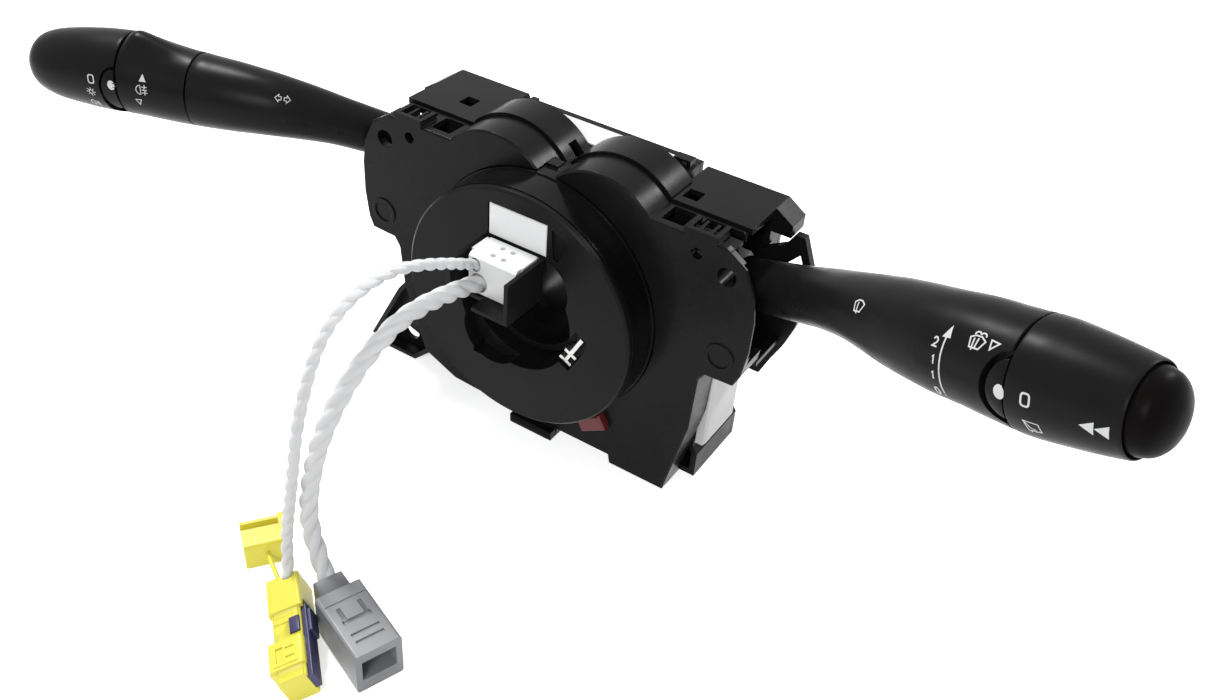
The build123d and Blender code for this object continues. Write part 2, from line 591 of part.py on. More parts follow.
with BuildPart() as rotor_disc:
    with BuildSketch(front(FACE_Y)):
        Circle(DRUM_R - 0.1)
    extrude(amount=-FACE_T)
    chamfer(rotor_disc.faces().sort_by(Axis.Y)[0].edges(), length=0.8)
    with BuildSketch(front(FACE_Y + FACE_T)):
        Circle(HUB_FRONT_R)
    extrude(amount=-(HUB_STEP_Y - FACE_Y - FACE_T))
    with BuildSketch(front(HUB_STEP_Y)):
        Circle(HUB_R)
    extrude(amount=-(CAM_Y[1] - HUB_STEP_Y))
    with BuildSketch(front(FACE_Y - 1)):
        add(drive_bore.sketch)
    extrude(amount=-(HUB_STEP_Y - 2.0 - FACE_Y + 1), mode=Mode.SUBTRACT)
    with BuildSketch(front(FACE_Y - 1)):
        Circle(BORE_R)
    extrude(amount=-30.0, mode=Mode.SUBTRACT)
    # socket window, drive key and the step notch of the bore
    with BuildSketch(front(FACE_Y - 1)):
        with Locations((sum(WINDOW_X) / 2, sum(WINDOW_Z) / 2)):
            Rectangle(WINDOW_X[1] - WINDOW_X[0], WINDOW_Z[1] - WINDOW_Z[0])
        with Locations((-14.6, -22.4)):
            Rectangle(4.4, 5.0)
        with Locations(Location((KEY_AT[0], KEY_AT[1], 0), (0, 0, KEY_TURN))):
            Rectangle(*KEY_SIZE)
    extrude(amount=-7.0, mode=Mode.SUBTRACT)
    with BuildSketch(front(FACE_Y - 0.5)):
        Polygon((14.2, 27.0), (16.0, 26.0), (20.0, 34.0), (13.4, 37.6), align=None)
    extrude(amount=-1.7, mode=Mode.SUBTRACT)
    # tray that carries the plug
    with BuildSketch(front(TRAY_FRONT_Y)):
        with Locations((sum(TRAY_X) / 2, sum(TRAY_Z) / 2)):
            Rectangle(TRAY_X[1] - TRAY_X[0], TRAY_Z[1] - TRAY_Z[0])
        with Locations((sum(TRAY_X) / 2, sum(TRAY_Z) / 2 + TRAY_WALL)):
            Rectangle(TRAY_X[1] - TRAY_X[0] - 2 * TRAY_WALL, TRAY_Z[1] - TRAY_Z[0], mode=Mode.SUBTRACT)
    extrude(amount=FACE_Y - TRAY_FRONT_Y - 0.6, dir=(0, 1, 0))
    with BuildSketch(front(FACE_Y - 1.5)):
        with Locations((TRAY_X[0] + TRAY_WALL / 2, 23.0), (TRAY_X[1] - TRAY_WALL / 2, 23.0)):
            Rectangle(TRAY_WALL, 5.6)
    extrude(amount=-2.6)
    with BuildSketch(front(TRAY_FRONT_Y - 1)):
        with Locations((-7.0, TRAY_Z[0])):
            Rectangle(9.0, 8.0)
    extrude(amount=-7.0, mode=Mode.SUBTRACT)
save(rotor_disc.part, "rotor_disc")

with BuildPart() as cancel_cam:
    with BuildSketch(front(CAM_Y[0])):
        Circle(HUB_R + 1.8)
        with Locations(Location((0, 0, 0), (0, 0, -30))):
            SlotOverall(2 * (HUB_R + 4.8), 9.0)
        Circle(HUB_R + 0.03, mode=Mode.SUBTRACT)
    extrude(amount=-(CAM_Y[1] - CAM_Y[0] - 0.3))
save(cancel_cam.part, "cancel_cam")

with BuildPart() as white_socket:
    with BuildSketch(front(FACE_Y + 0.1)):
        with Locations((sum(WINDOW_X) / 2, sum(WINDOW_Z) / 2)):
            Rectangle(WINDOW_X[1] - WINDOW_X[0] - 0.4, WINDOW_Z[1] - WINDOW_Z[0] - 0.4)
    extrude(amount=-2.9)
    chamfer(white_socket.faces().sort_by(Axis.Y)[0].edges(), length=0.4)
save(white_socket.part, "white_socket")

with BuildPart() as key_contact:
    with BuildSketch(front(FACE_Y + 1.2)):
        with Locations(Location((*KEY_AT, 0), (0, 0, KEY_TURN))):
            with Locations((1.6, 0.0)):
                Rectangle(9.0, 1.4)
            with Locations((-2.6, 0.0), (-6.6, 0.0)):
                Rectangle(1.2, 5.0)
            with Locations((-4.6, 0.0)):
                Rectangle(4.0, 1.2)
    extrude(amount=-4.77)
save(key_contact.part, "key_contact")

PLUG_Y = (-28.0, -15.4)
PLUG_Z = (12.3, 26.4)
CORD_A_EXIT = (-6.6, 21.0)
CORD_B_EXIT = (-5.0, 15.4)
CORD_A = [
    (CORD_A_EXIT[0], PLUG_Y[0] + 3.0, CORD_A_EXIT[1]), (-6.0, -45.0, 33.0), (-11.0, -66.0, 38.5),
    (-15.3, -86.0, 29.0), (-13.7, -100.7, 6.5), (-12.4, -107.4, -17.0), (-16.6, -108.6, -40.0),
    (-10.8, -114.6, -52.8),
]
CORD_B = [
    (CORD_B_EXIT[0], PLUG_Y[0] + 3.0, CORD_B_EXIT[1]), (-4.4, -56.0, 26.0), (-5.6, -80.0, 20.0),
    (-10.4, -95.0, -1.0), (-13.8, -100.8, -27.0), (-12.4, -102.0, -44.0), (1.6, -108.6, -53.2),
]


def socket_for(points, diameter):
    """Bore that takes the end of a cord."""
    last = Vector(*points[-1]) - Vector(*points[-2])
    with BuildPart() as bore:
        with BuildSketch(section(points[-1], tuple(last)).offset(0.02)):
            Circle(diameter / 2 + 0.3)
        extrude(amount=-30.0)
    return bore.part


with BuildPart() as airbag_plug:
    with Locations((0.2, sum(PLUG_Y) / 2, sum(PLUG_Z) / 2)):
        Box(18.4, PLUG_Y[1] - PLUG_Y[0], PLUG_Z[1] - PLUG_Z[0])
    chamfer(airbag_plug.edges().filter_by(Axis.X).sort_by(Axis.Z)[-2:], length=1.0)
    with Locations((0.2, -22.0, PLUG_Z[1])):
        with GridLocations(4.1, 5.0, 2, 2):
            Cylinder(0.9, 4.0, mode=Mode.SUBTRACT)
    with Locations((-9.4, -21.0, PLUG_Z[1] - 0.9), (9.2, -21.0, PLUG_Z[1] - 0.9)):
        Box(1.2, 8.0, 1.8)
    add(socket_for(CORD_A[::-1], CORD_A_D), mode=Mode.SUBTRACT)
    add(socket_for(CORD_B[::-1], CORD_B_D), mode=Mode.SUBTRACT)
save(airbag_plug.part, "airbag_plug")

LOCK_TRAVEL = 2.5
with BuildPart() as lock_tab:
    lock_place = Location((LOCK_R * cos(radians(LOCK_ANGLE)), LOCK_R * sin(radians(LOCK_ANGLE)), 0),
                          (0, 0, LOCK_ANGLE + 90))
    with BuildSketch(front(-3.4)):
        with Locations(lock_place):
            Rectangle(*LOCK_SIZE)
    extrude(amount=-9.4)
    chamfer(lock_tab.faces().sort_by(Axis.Y)[0].edges(), length=0.8)
    with BuildSketch(front(PLATE_T + FIT)):
        with Locations(lock_place):
            Rectangle(LOCK_SIZE[0] + 3.0, LOCK_SIZE[1] + 0.4)
    extrude(amount=-1.4)
save(lock_tab.part, "lock_tab")

# ---------------------------------------------------------------- stalks
YOKE_Y = (14.6, 31.4)
YOKE_Z = (12.0, 26.0)
YOKE_X = (PIVOT_X - 8.5, PULL_X + 4.0)
TRACK_R = 13.0
TAIL_X = (PULL_X - 4.6, PULL_X + 7.5)
TAIL_Y = (17.0, 29.0)
PULL_PIN_R = 2.0
PLUNGER_R = 2.0
STALK_WALL = 2.2
NECK = {
    "left": [(-TAIL_X[1] + 1.0, 20.9, 22.0, 8.0), (-72.0, 18.4, 24.7, 8.1), (-80.0, 13.7, 27.8, 8.4), (-91.0, 4.2, 32.6, 9.0),
             (-98.5, -2.4, 36.2, 10.4), (-109.0, -10.4, 39.3, 11.6), (-123.0, -16.3, 40.6, 12.5)],
    "right": [(TAIL_X[1] - 1.0, 20.9, 22.2, 8.0), (72.0, 18.4, 24.6, 8.3), (80.0, 15.4, 27.9, 8.6), (91.0, 8.4, 34.0, 8.8),
              (110.5, -5.6, 46.6, 10.0), (127.0, -15.3, 53.7, 12.2), (140.0, -22.4, 58.9, 13.5)],
}
KNOB_AXIS = {"left": (-30.0, -10.9, -1.2), "right": (30.0, -10.9, 9.2)}
SPLIT = {"left": (-157.6, -29.1, 41.75), "right": (163.7, -31.3, 66.2)}
RING_L = 21.0
END_AT = {"left": -RING_L - SPLIT_GAP, "right": -8.0}
END_R = {"left": 13.2, "right": 14.3}
POINTER_TURN = {"left": -5.0, "right": 185.0}
POINTER_L = 4.4
POINTER_HALF_W = 7.4
POINTER_SINK = 3.2


def skin(stations, tip, inset=0.0, span=slice(None)):
    """Loft through round sections along a stalk's axis, or a span of them, inset from its surface."""
    points = [Vector(*station[:3]) for station in stations]
    headings = [(b - a).normalized() for a, b in zip(points, points[1:])]
    inner = [(a + b).normalized() for a, b in zip(headings, headings[1:])]
    headings = [Vector(headings[0].X, 0, 0), *inner, Vector(*tip)]
    with BuildPart() as body:
        for point, heading, station in list(zip(points, headings, stations))[span]:
            with BuildSketch(section(tuple(point), tuple(heading))):
                Circle(station[3] - inset)
        loft()
    return body.part


def profile_plane(knob):
    """Plane through a knob's axis, its local Y axis along it."""
    return Plane(origin=knob.origin, x_dir=knob.x_dir, z_dir=knob.x_dir.cross(knob.z_dir))


def side_plane(knob, turn):
    """Plane through a knob's axis that faces outwards at an angle round it, its local X axis outwards along it."""
    facing = knob.x_dir * cos(radians(turn)) + knob.y_dir * sin(radians(turn))
    return Plane(origin=knob.origin, x_dir=knob.z_dir, z_dir=facing)


knobs = {name: section(SPLIT[name], KNOB_AXIS[name]) for _, name in SIDES}
for side, name in SIDES:
    knob = knobs[name]
    end = knob.offset(END_AT[name])
    stations = NECK[name] + [(end.origin.X, end.origin.Y, end.origin.Z, END_R[name])]

    with BuildPart() as yoke:
        with Locations((side * sum(YOKE_X) / 2, sum(YOKE_Y) / 2, sum(YOKE_Z) / 2)):
            Box(YOKE_X[1] - YOKE_X[0], YOKE_Y[1] - YOKE_Y[0], YOKE_Z[1] - YOKE_Z[0])
        chamfer(yoke.edges().filter_by(Axis.Y), length=1.5)
        with Locations((side * PIVOT_X, PIVOT_Y, PIVOT_Z)):
            Cylinder(PIN_R + RUN, 40.0, rotation=(90, 0, 0), mode=Mode.SUBTRACT)
        with Locations((side * (TAIL_X[0] - 0.8 + 10.0), PIVOT_Y, PIVOT_Z)):
            Box(20.0, 40.0, TAIL_H + 2 * RUN, mode=Mode.SUBTRACT)
        with Locations((side * PULL_X, PIVOT_Y, PIVOT_Z)):
            Cylinder(PULL_PIN_R + 0.02, 30.0, mode=Mode.SUBTRACT)
        with Locations((side * YOKE_X[0], PIVOT_Y, PIVOT_Z)):
            Cylinder(PLUNGER_R + 0.05, 10.8, rotation=(0, 90, 0), mode=Mode.SUBTRACT)
    save(yoke.part, f"{name}_yoke")

    with BuildPart() as pull_pin:
        with Locations((side * PULL_X, PIVOT_Y, PIVOT_Z)):
            Cylinder(PULL_PIN_R, YOKE_Z[1] - YOKE_Z[0] + 1.0)
    save(pull_pin.part, f"{name}_pull_pin")

    with BuildPart() as plunger:
        with Locations((side * (YOKE_X[0] + 1.1), PIVOT_Y, PIVOT_Z)):
            Cylinder(PLUNGER_R, 7.6, rotation=(0, 90, 0))
        with Locations((side * (YOKE_X[0] - 2.7), PIVOT_Y, PIVOT_Z)):
            Sphere(1.4)
    save(plunger.part, f"{name}_detent_plunger")

    with BuildPart() as track:
        with Locations((side * (YOKE_X[0] - 5.3), PIVOT_Y + 2.0, PIVOT_Z)):
            Box(6.0, 15.6, 20.0)
        with Locations((side * PIVOT_X, PIVOT_Y, PIVOT_Z)):
            Cylinder(TRACK_R, 60.0, rotation=(90, 0, 0), mode=Mode.SUBTRACT)
    save(track.part, f"{name}_detent_track")

    with BuildPart() as arm:
        add(skin(stations, KNOB_AXIS[name]))
        with Locations((side * sum(TAIL_X) / 2, sum(TAIL_Y) / 2, PIVOT_Z)):
            Box(TAIL_X[1] - TAIL_X[0], TAIL_Y[1] - TAIL_Y[0], TAIL_H)
        with Locations((side * PULL_X, PIVOT_Y, PIVOT_Z)):
            Cylinder(PULL_PIN_R + RUN, 30.0, mode=Mode.SUBTRACT)
        add(skin(stations, KNOB_AXIS[name], STALK_WALL, slice(3, -1)), mode=Mode.SUBTRACT)
        if name == "left":
            with BuildSketch(end):
                Circle(SPIGOT_R)
            extrude(amount=RING_L)
            with BuildSketch(knob):
                Circle(COLLAR_R - 6.4)
            extrude(amount=-8.0, mode=Mode.SUBTRACT)
        else:
            with BuildSketch(end):
                Circle(END_R[name])
            with BuildSketch(knob.offset(-SPLIT_GAP)):
                Circle(GRIP_R + 0.2)
            loft()
            with BuildSketch(side_plane(knob, POINTER_TURN[name]).offset(9.4)):
                with Locations((POINTER_SINK, 0.0)):
                    Circle(POINTER_HALF_W + 1.3)
            extrude(amount=12.0, mode=Mode.SUBTRACT)
        with BuildSketch(knob.offset(1.0)):
            Circle(SHAFT_R + 1.0 + RUN)
        extrude(amount=-42.0, mode=Mode.SUBTRACT)
    save(arm.part, f"{name}_arm")

left = knobs["left"]
right = knobs["right"]
with BuildPart() as fog_ring:
    with BuildSketch(left.offset(-RING_L)):
        Circle(13.4)
    with BuildSketch(left.offset(-SPLIT_GAP)):
        Circle(GRIP_R)
    loft()
    with BuildSketch(side_plane(left, 78.0).offset(9.5)):
        with Locations((-12.0, 0.0)):
            SlotOverall(13.0, 5.0)
    extrude(amount=6.4)
    with BuildSketch(left):
        Circle(SPIGOT_R + RUN)
    extrude(amount=-RING_L - 1.0, mode=Mode.SUBTRACT)
save(fog_ring.part, "fog_ring")

with BuildPart() as left_pointer:
    with BuildSketch(left.offset(0.1)):
        Circle(GRIP_R - 0.3)
    extrude(amount=0.8)
    with BuildSketch(left.offset(-6.0)):
        Circle(COLLAR_R - 6.42)
    extrude(amount=6.5)
    with BuildSketch(left.offset(0.5)):
        Circle(GRIP_R - 2.4)
        Circle(GRIP_R - 4.2, mode=Mode.SUBTRACT)
    extrude(amount=7.0)
    with BuildSketch(side_plane(left, POINTER_TURN["left"]).offset(GRIP_R - 4.0)):
        with Locations((0.5, 0.0)):
            Ellipse(POINTER_L, POINTER_HALF_W)
        with Locations((-9.4, 0.0)):
            Rectangle(20.0, 40.0, mode=Mode.SUBTRACT)
    extrude(amount=3.7)
    with BuildSketch(left.offset(-9.0)):
        Circle(SHAFT_R + RUN)
    extrude(amount=30.0, mode=Mode.SUBTRACT)
save(left_pointer.part, "left_pointer")

KNOB_START = 1.4
KNOB_L = 40.0
with BuildPart() as light_knob:
    with BuildSketch(profile_plane(left)):
        with BuildLine():
            Polyline((0, KNOB_L), (0, -24.0), (SHAFT_R, -24.0), (SHAFT_R, 20.0), (12.5, 20.0), (12.5, KNOB_START),
                     (GRIP_R - 0.1, KNOB_START))
            Spline((GRIP_R - 0.1, KNOB_START), (14.0, 12.0), (13.1, 23.0), (11.3, 31.5), (8.0, 37.0), (0, KNOB_L),
                   tangents=((0, 1), (-1, 0)))
        make_face()
    revolve(axis=Axis(left.origin, left.z_dir))
    for turn in (0, -18, -36):
        with BuildSketch(side_plane(left, POINTER_TURN["left"] + turn).offset(8.0)):
            Ellipse(POINTER_L + 1.9, POINTER_HALF_W + 0.9)
        extrude(amount=10.0, mode=Mode.SUBTRACT)
save(light_knob.part, "light_knob")

with BuildPart() as right_pointer:
    with BuildSketch(side_plane(right, POINTER_TURN["right"]).offset(9.42)):
        with Locations((POINTER_SINK, 0.0)):
            Circle(POINTER_HALF_W)
        with Locations((10.0 - SPLIT_GAP, 0.0)):
            Rectangle(20.0, 40.0, mode=Mode.SUBTRACT)
    extrude(amount=GRIP_R - 9.3)
save(right_pointer.part, "right_pointer")

REAR_KNOB_L = 20.4
BUTTON_L = 35.0
with BuildPart() as rear_wipe_knob:
    with BuildSketch(profile_plane(right)):
        with BuildLine():
            Polyline((SHAFT_R - 0.6, 11.0), (SHAFT_R - 0.6, -14.0), (SHAFT_R + 1.0, -14.0), (SHAFT_R + 1.0, 0.3),
                     (GRIP_R + 0.2, 0.3), (13.4, REAR_KNOB_L), (11.6, REAR_KNOB_L), (11.6, 11.0), close=True)
        make_face()
    revolve(axis=Axis(right.origin, right.z_dir))
save(rear_wipe_knob.part, "rear_wipe_knob")

with BuildPart() as end_button:
    with BuildSketch(profile_plane(right)):
        with BuildLine():
            Polyline((0, BUTTON_L), (0, -16.0), (SHAFT_R - 0.8, -16.0), (SHAFT_R - 0.8, 14.0), (11.2, 14.0),
                     (11.2, REAR_KNOB_L + BUTTON_TRAVEL + 0.4), (13.0, REAR_KNOB_L + BUTTON_TRAVEL + 0.4))
            Spline((13.0, REAR_KNOB_L + BUTTON_TRAVEL + 0.4), (12.2, 28.0), (9.0, 32.8), (0, BUTTON_L),
                   tangents=((0, 1), (-1, 0)))
        make_face()
    revolve(axis=Axis(right.origin, right.z_dir))
save(end_button.part, "end_button")

# ---------------------------------------------------------------- cords and their connectors


def bend_radii(points):
    """Tangent-arc radius at each inner point of a cord's run."""
    radii = []
    for before, here, after in zip(points, points[1:], points[2:]):
        first, second = Vector(*here) - Vector(*before), Vector(*after) - Vector(*here)
        half_turn = radians(first.get_angle(second) / 2)
        radii.append(0.45 * min(first.length, second.length) / tan(half_turn))
    return radii


def cord(points, diameter):
    """Round cord along a run of straights and arcs."""
    radii = bend_radii(points)
    print("bend radii / diameter:", [round(radius / diameter, 1) for radius in radii])
    with BuildPart() as body:
        with BuildLine() as run:
            FilletPolyline(*points, radius=radii)
        start = Vector(*points[1]) - Vector(*points[0])
        with BuildSketch(section(points[0], tuple(start))):
            Circle(diameter / 2)
        sweep(path=run.wires()[0])
    print("volume over section times length:", round(body.part.volume / (run.wires()[0].length * 3.14159 * diameter**2 / 4), 4))
    return body.part


for points, diameter, label in ((CORD_A, CORD_A_D, "upper_cord"), (CORD_B, CORD_B_D, "lower_cord")):
    save(cord(points, diameter), label)


def lying(origin, heading, roll):
    """Plane square to a connector's length, rolled about it."""
    flat = section(origin, heading)
    across = flat.x_dir * cos(radians(roll)) + flat.y_dir * sin(radians(roll))
    return Plane(origin=origin, x_dir=across, z_dir=flat.z_dir)


yellow = lying((-12.2, -113.4, -55.0), (27.0, -23.5, 0.0), 20.0)
with BuildPart() as yellow_connector:
    with BuildSketch(yellow):
        RectangleRounded(10.6, 11.6, 1.0)
    extrude(amount=13.0)
    with BuildSketch(yellow.offset(12.0)):
        RectangleRounded(9.0, 10.4, 1.0)
    extrude(amount=26.0)
    with BuildSketch(yellow.offset(24.0)):
        with Locations((-0.8, 0.0)):
            RectangleRounded(11.0, 12.0, 1.2)
    extrude(amount=10.0)
    with BuildSketch(yellow.offset(37.0)):
        RectangleRounded(6.4, 8.0, 0.8)
    extrude(amount=-9.0, mode=Mode.SUBTRACT)
    with BuildSketch(yellow.offset(10.0)):
        with Locations((5.2, 0.6)):
            Rectangle(2.4, 6.8)
    extrude(amount=40.0, mode=Mode.SUBTRACT)
    add(socket_for(CORD_A, CORD_A_D), mode=Mode.SUBTRACT)
save(yellow_connector.part, "yellow_connector")

with BuildPart() as blue_latch:
    with BuildSketch(yellow.offset(12.0)):
        with Locations((5.1, 0.6)):
            RectangleRounded(2.0, 6.4, 0.5)
    extrude(amount=26.0)
    with BuildSketch(yellow.offset(14.0)):
        with Locations((6.3, 0.6)):
            RectangleRounded(1.7, 5.4, 0.6)
    extrude(amount=8.0)
save(blue_latch.part, "blue_latch")

STRAP = ((-31.0, -105.2, -56.5), (-12.6, -115.4, -56.0))
cap = lying((-37.6, -108.6, -57.2), (8.8, 12.0, 0.0), 0.0)
with BuildPart() as yellow_cap:
    with BuildSketch(cap):
        RectangleRounded(12.0, 10.4, 1.0)
        with Locations((3.0, 4.6)):
            Rectangle(2.4, 3.0, mode=Mode.SUBTRACT)
    extrude(amount=12.0)
    with BuildSketch(cap.offset(12.0)):
        RectangleRounded(14.0, 10.6, 1.0)
    extrude(amount=2.0)
    with BuildSketch(cap):
        with Locations((0, -1.0)):
            Rectangle(8.0, 5.0)
    extrude(amount=7.0, mode=Mode.SUBTRACT)
    with BuildSketch(section(STRAP[0], tuple(Vector(*STRAP[1]) - Vector(*STRAP[0])))):
        Circle(0.7)
    extrude(amount=(Vector(*STRAP[1]) - Vector(*STRAP[0])).length)
save(yellow_cap.part, "yellow_cap")

grey = lying((-0.9, -107.8, -54.0), (33.0, -12.5, 0.0), 0.0)
with BuildPart() as grey_connector:
    with BuildSketch(grey):
        with Locations((0, 1.6)):
            RectangleRounded(9.6, 9.4, 0.8)
    extrude(amount=30.0)
    with BuildSketch(grey.offset(7.0)):
        with Locations((0, -0.2)):
            RectangleRounded(15.0, 16.0, 1.0)
    extrude(amount=26.0)
    with BuildSketch(grey.offset(34.0)):
        with Locations((0, 0.5)):
            Rectangle(11.0, 8.0)
    extrude(amount=-10.0, mode=Mode.SUBTRACT)
    with BuildSketch(grey.offset(19.0)):
        with Locations((0.0, 7.8)):
            Rectangle(9.0, 1.6)
    extrude(amount=1.6, mode=Mode.SUBTRACT)
    add(socket_for(CORD_B, CORD_B_D), mode=Mode.SUBTRACT)
save(grey_connector.part, "grey_connector")
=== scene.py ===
"""Studio scene of a steering column combination switch.

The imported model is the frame. Its moulded and metal pieces keep their shapes and get their finishes here.
The stalks' shells, two connector bodies, the twisted leads and the printed symbols are made here, and ride
on the same bodies. +X is the driver's right, +Y points away from the driver, +Z up. Shapes are written in
millimetres and made in metres.
"""
import json
import logging
import math
from collections.abc import Callable, Iterator, Sequence
from contextlib import contextmanager
from dataclasses import dataclass
from enum import Enum
from functools import cache

import bmesh
import bpy
from mathutils import Matrix, Vector
from mathutils.bvhtree import BVHTree


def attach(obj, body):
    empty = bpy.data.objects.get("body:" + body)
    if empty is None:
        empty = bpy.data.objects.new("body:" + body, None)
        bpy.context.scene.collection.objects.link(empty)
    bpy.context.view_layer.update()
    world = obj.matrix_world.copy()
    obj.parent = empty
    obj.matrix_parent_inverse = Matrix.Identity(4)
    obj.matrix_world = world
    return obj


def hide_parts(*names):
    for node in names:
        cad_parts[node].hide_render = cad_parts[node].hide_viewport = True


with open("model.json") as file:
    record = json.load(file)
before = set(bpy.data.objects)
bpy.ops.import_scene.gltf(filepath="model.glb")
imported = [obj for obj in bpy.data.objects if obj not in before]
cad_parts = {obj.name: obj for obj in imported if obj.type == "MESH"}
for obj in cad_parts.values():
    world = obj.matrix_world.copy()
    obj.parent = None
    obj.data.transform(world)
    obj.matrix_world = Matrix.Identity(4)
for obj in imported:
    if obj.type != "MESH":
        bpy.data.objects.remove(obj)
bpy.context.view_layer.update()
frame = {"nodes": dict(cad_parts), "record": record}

MM = 0.001
BASE_Z = -62.5 * MM
WORLD_UP = Vector((0.0, 0.0, 1.0))
LEFT_AXIS = Vector((-30.0, -10.9, -1.2)).normalized()
RIGHT_AXIS = Vector((30.0, -10.9, 9.2)).normalized()
Pair, Row = tuple[float, float], tuple[float, ...]
Rows = tuple[Row, ...]
Point = Color = tuple[float, float, float]
Material, Piece, Socket = bpy.types.Material, bpy.types.Object, bpy.types.NodeSocket

log = logging.getLogger("column_switch")


# ---- shader helpers
MIX_FIRST, MIX_SECOND, MIX_RESULT = 6, 7, 2
EDGE_SAMPLES = 4


@dataclass(frozen=True)
class Cloud:
    """Noise over a piece: cells to the metre, octaves, and the band of its values that is used."""

    scale: float
    detail: float
    low: float = 0.3
    high: float = 0.7


class Nodes:
    """Adds nodes to a shader node tree and links them."""

    def __init__(self, tree: bpy.types.NodeTree) -> None:
        """Empty the tree and keep it."""
        self.tree = tree
        tree.nodes.clear()

    def add(self, kind: str, **values: object) -> bpy.types.Node:
        """Add a node and set its properties and input sockets.

        Args:
            kind: the node's type name.
            values: properties of the node, or input sockets by name with spaces as underscores.

        Returns:
            The new node.
        """
        node = self.tree.nodes.new(kind)
        for key, value in values.items():
            if hasattr(node, key):
                setattr(node, key, value)
            else:
                node.inputs[key.replace("_", " ")].default_value = value
        return node

    def link(self, source: Socket, target: Socket) -> None:
        """Join two sockets."""
        self.tree.links.new(source, target)

    def join(self, kind: str, *sources: Socket, **values: object) -> Socket:
        """Add a node and link sockets to its inputs.

        Args:
            kind: the node's type name.
            sources: the sockets for its first inputs, in order.
            values: settings, as for add.

        Returns:
            The new node's first output.
        """
        node = self.add(kind, **values)
        for source, target in zip(sources, node.inputs):
            self.link(source, target)
        return node.outputs[0]


class Shade(Nodes):
    """One material's nodes round a Principled shader."""

    def __init__(self, name: str) -> None:
        """Start a material.

        Args:
            name: the material's name.
        """
        self.material = bpy.data.materials.new(name)
        self.material.use_nodes = True
        super().__init__(self.material.node_tree)
        self.output = self.add("ShaderNodeOutputMaterial")
        self.shader = self.add("ShaderNodeBsdfPrincipled")
        self.link(self.shader.outputs[0], self.output.inputs[0])

    def feed(self, **values: object) -> None:
        """Set the shader's inputs.

        Args:
            values: values or sockets, by the inputs' names with spaces as underscores.
        """
        for key, value in values.items():
            target = self.shader.inputs[key.replace("_", " ")]
            if isinstance(value, Socket):
                self.link(value, target)
            else:
                target.default_value = value

    def noise(self, scale: float, detail: float) -> Socket:
        """Noise over the object: cells to the metre and octaves."""
        node = self.add("ShaderNodeTexNoise", Scale=scale, Detail=detail)
        self.link(self.add("ShaderNodeTexCoord").outputs["Object"], node.inputs["Vector"])
        return node.outputs["Fac"]

    def mix(self, factor: Socket, first: Color, second: Color) -> Socket:
        """Blend between two colours by a factor socket."""
        node = self.add("ShaderNodeMix", data_type="RGBA")
        self.link(factor, node.inputs["Factor"])
        node.inputs[MIX_FIRST].default_value = (*first, 1.0)
        node.inputs[MIX_SECOND].default_value = (*second, 1.0)
        return node.outputs[MIX_RESULT]

    def remap(self, value: Socket, low: float, high: float, to_low: float, to_high: float) -> Socket:
        """Clamp and rescale a value socket."""
        return self.join("ShaderNodeMapRange", value, From_Min=low, From_Max=high, To_Min=to_low, To_Max=to_high)

    def cloud(self, cloud: Cloud, to_low: float, to_high: float) -> Socket:
        """Noise whose band is rescaled to run from one value to another."""
        return self.remap(self.noise(cloud.scale, cloud.detail), cloud.low, cloud.high, to_low, to_high)

    def bump(self, height: Socket, strength: float, distance: float, edge: float = 0.0) -> None:
        """Raise the surface by a height socket, with softened edges where edge is above 0.

        Args:
            height: the height's socket.
            strength: the bump's strength.
            distance: the bump's full height in metres.
            edge: radius of softened edges in metres.
        """
        node = self.add("ShaderNodeBump", Strength=strength, Distance=distance)
        self.link(height, node.inputs["Height"])
        if edge:
            self.link(self.join("ShaderNodeBevel", samples=EDGE_SAMPLES, Radius=edge), node.inputs["Normal"])
        self.feed(Normal=node.outputs[0])


@dataclass(frozen=True)
class Solid:
    """Moulded plastic: clouds of two colours, a gloss that varies, and a fine grain with softened edges."""

    name: str
    color: Color
    second: Color
    roughness: float = 0.5
    grain: float = 2600.0
    grain_height: float = 0.00004
    edge: float = 0.0003
    level: float = 0.5
    mottle: float = 0.5
    tone: Cloud = Cloud(46.0, 5.0, 0.35, 0.68)
    gloss: Cloud = Cloud(120.0, 4.0)
    swing: Pair = (-0.06, 0.06)
    grain_detail: float = 2.0
    relief: float = 0.35
    metallic: float = 0.0

    def material(self) -> Material:
        """Build the finish.

        Returns:
            The material.
        """
        shade = Shade(self.name)
        low, high = self.swing
        shade.feed(Base_Color=shade.mix(shade.cloud(self.tone, 0.0, self.mottle), self.color, self.second),
                   Roughness=shade.cloud(self.gloss, self.roughness + low, self.roughness + high),
                   Specular_IOR_Level=self.level, Metallic=self.metallic)
        shade.bump(shade.noise(self.grain, self.grain_detail), self.relief, self.grain_height, self.edge)
        return shade.material


@dataclass(frozen=True)
class PolishedPlastic(Solid):
    """Plastic from a polished mould, with faint wiping marks."""

    roughness: float = 0.12
    grain: float = 90.0
    grain_height: float = 0.00012
    edge: float = 0.00025
    level: float = 0.1
    mottle: float = 0.6
    tone: Cloud = Cloud(70.0, 6.0, 0.4, 0.75)
    gloss: Cloud = Cloud(160.0, 5.0, 0.35)
    swing: Pair = (0.0, 0.1)
    relief: float = 0.12


@dataclass(frozen=True)
class PlatedSteel(Solid):
    """Zinc plated or bright steel with fine tool lines."""

    roughness: float = 0.32
    grain: float = 3000.0
    grain_height: float = 0.00003
    edge: float = 0.0002
    mottle: float = 1.0
    tone: Cloud = Cloud(400.0, 4.0)
    gloss: Cloud = Cloud(900.0, 3.0)
    swing: Pair = (-0.08, 0.12)
    relief: float = 0.2
    metallic: float = 1.0


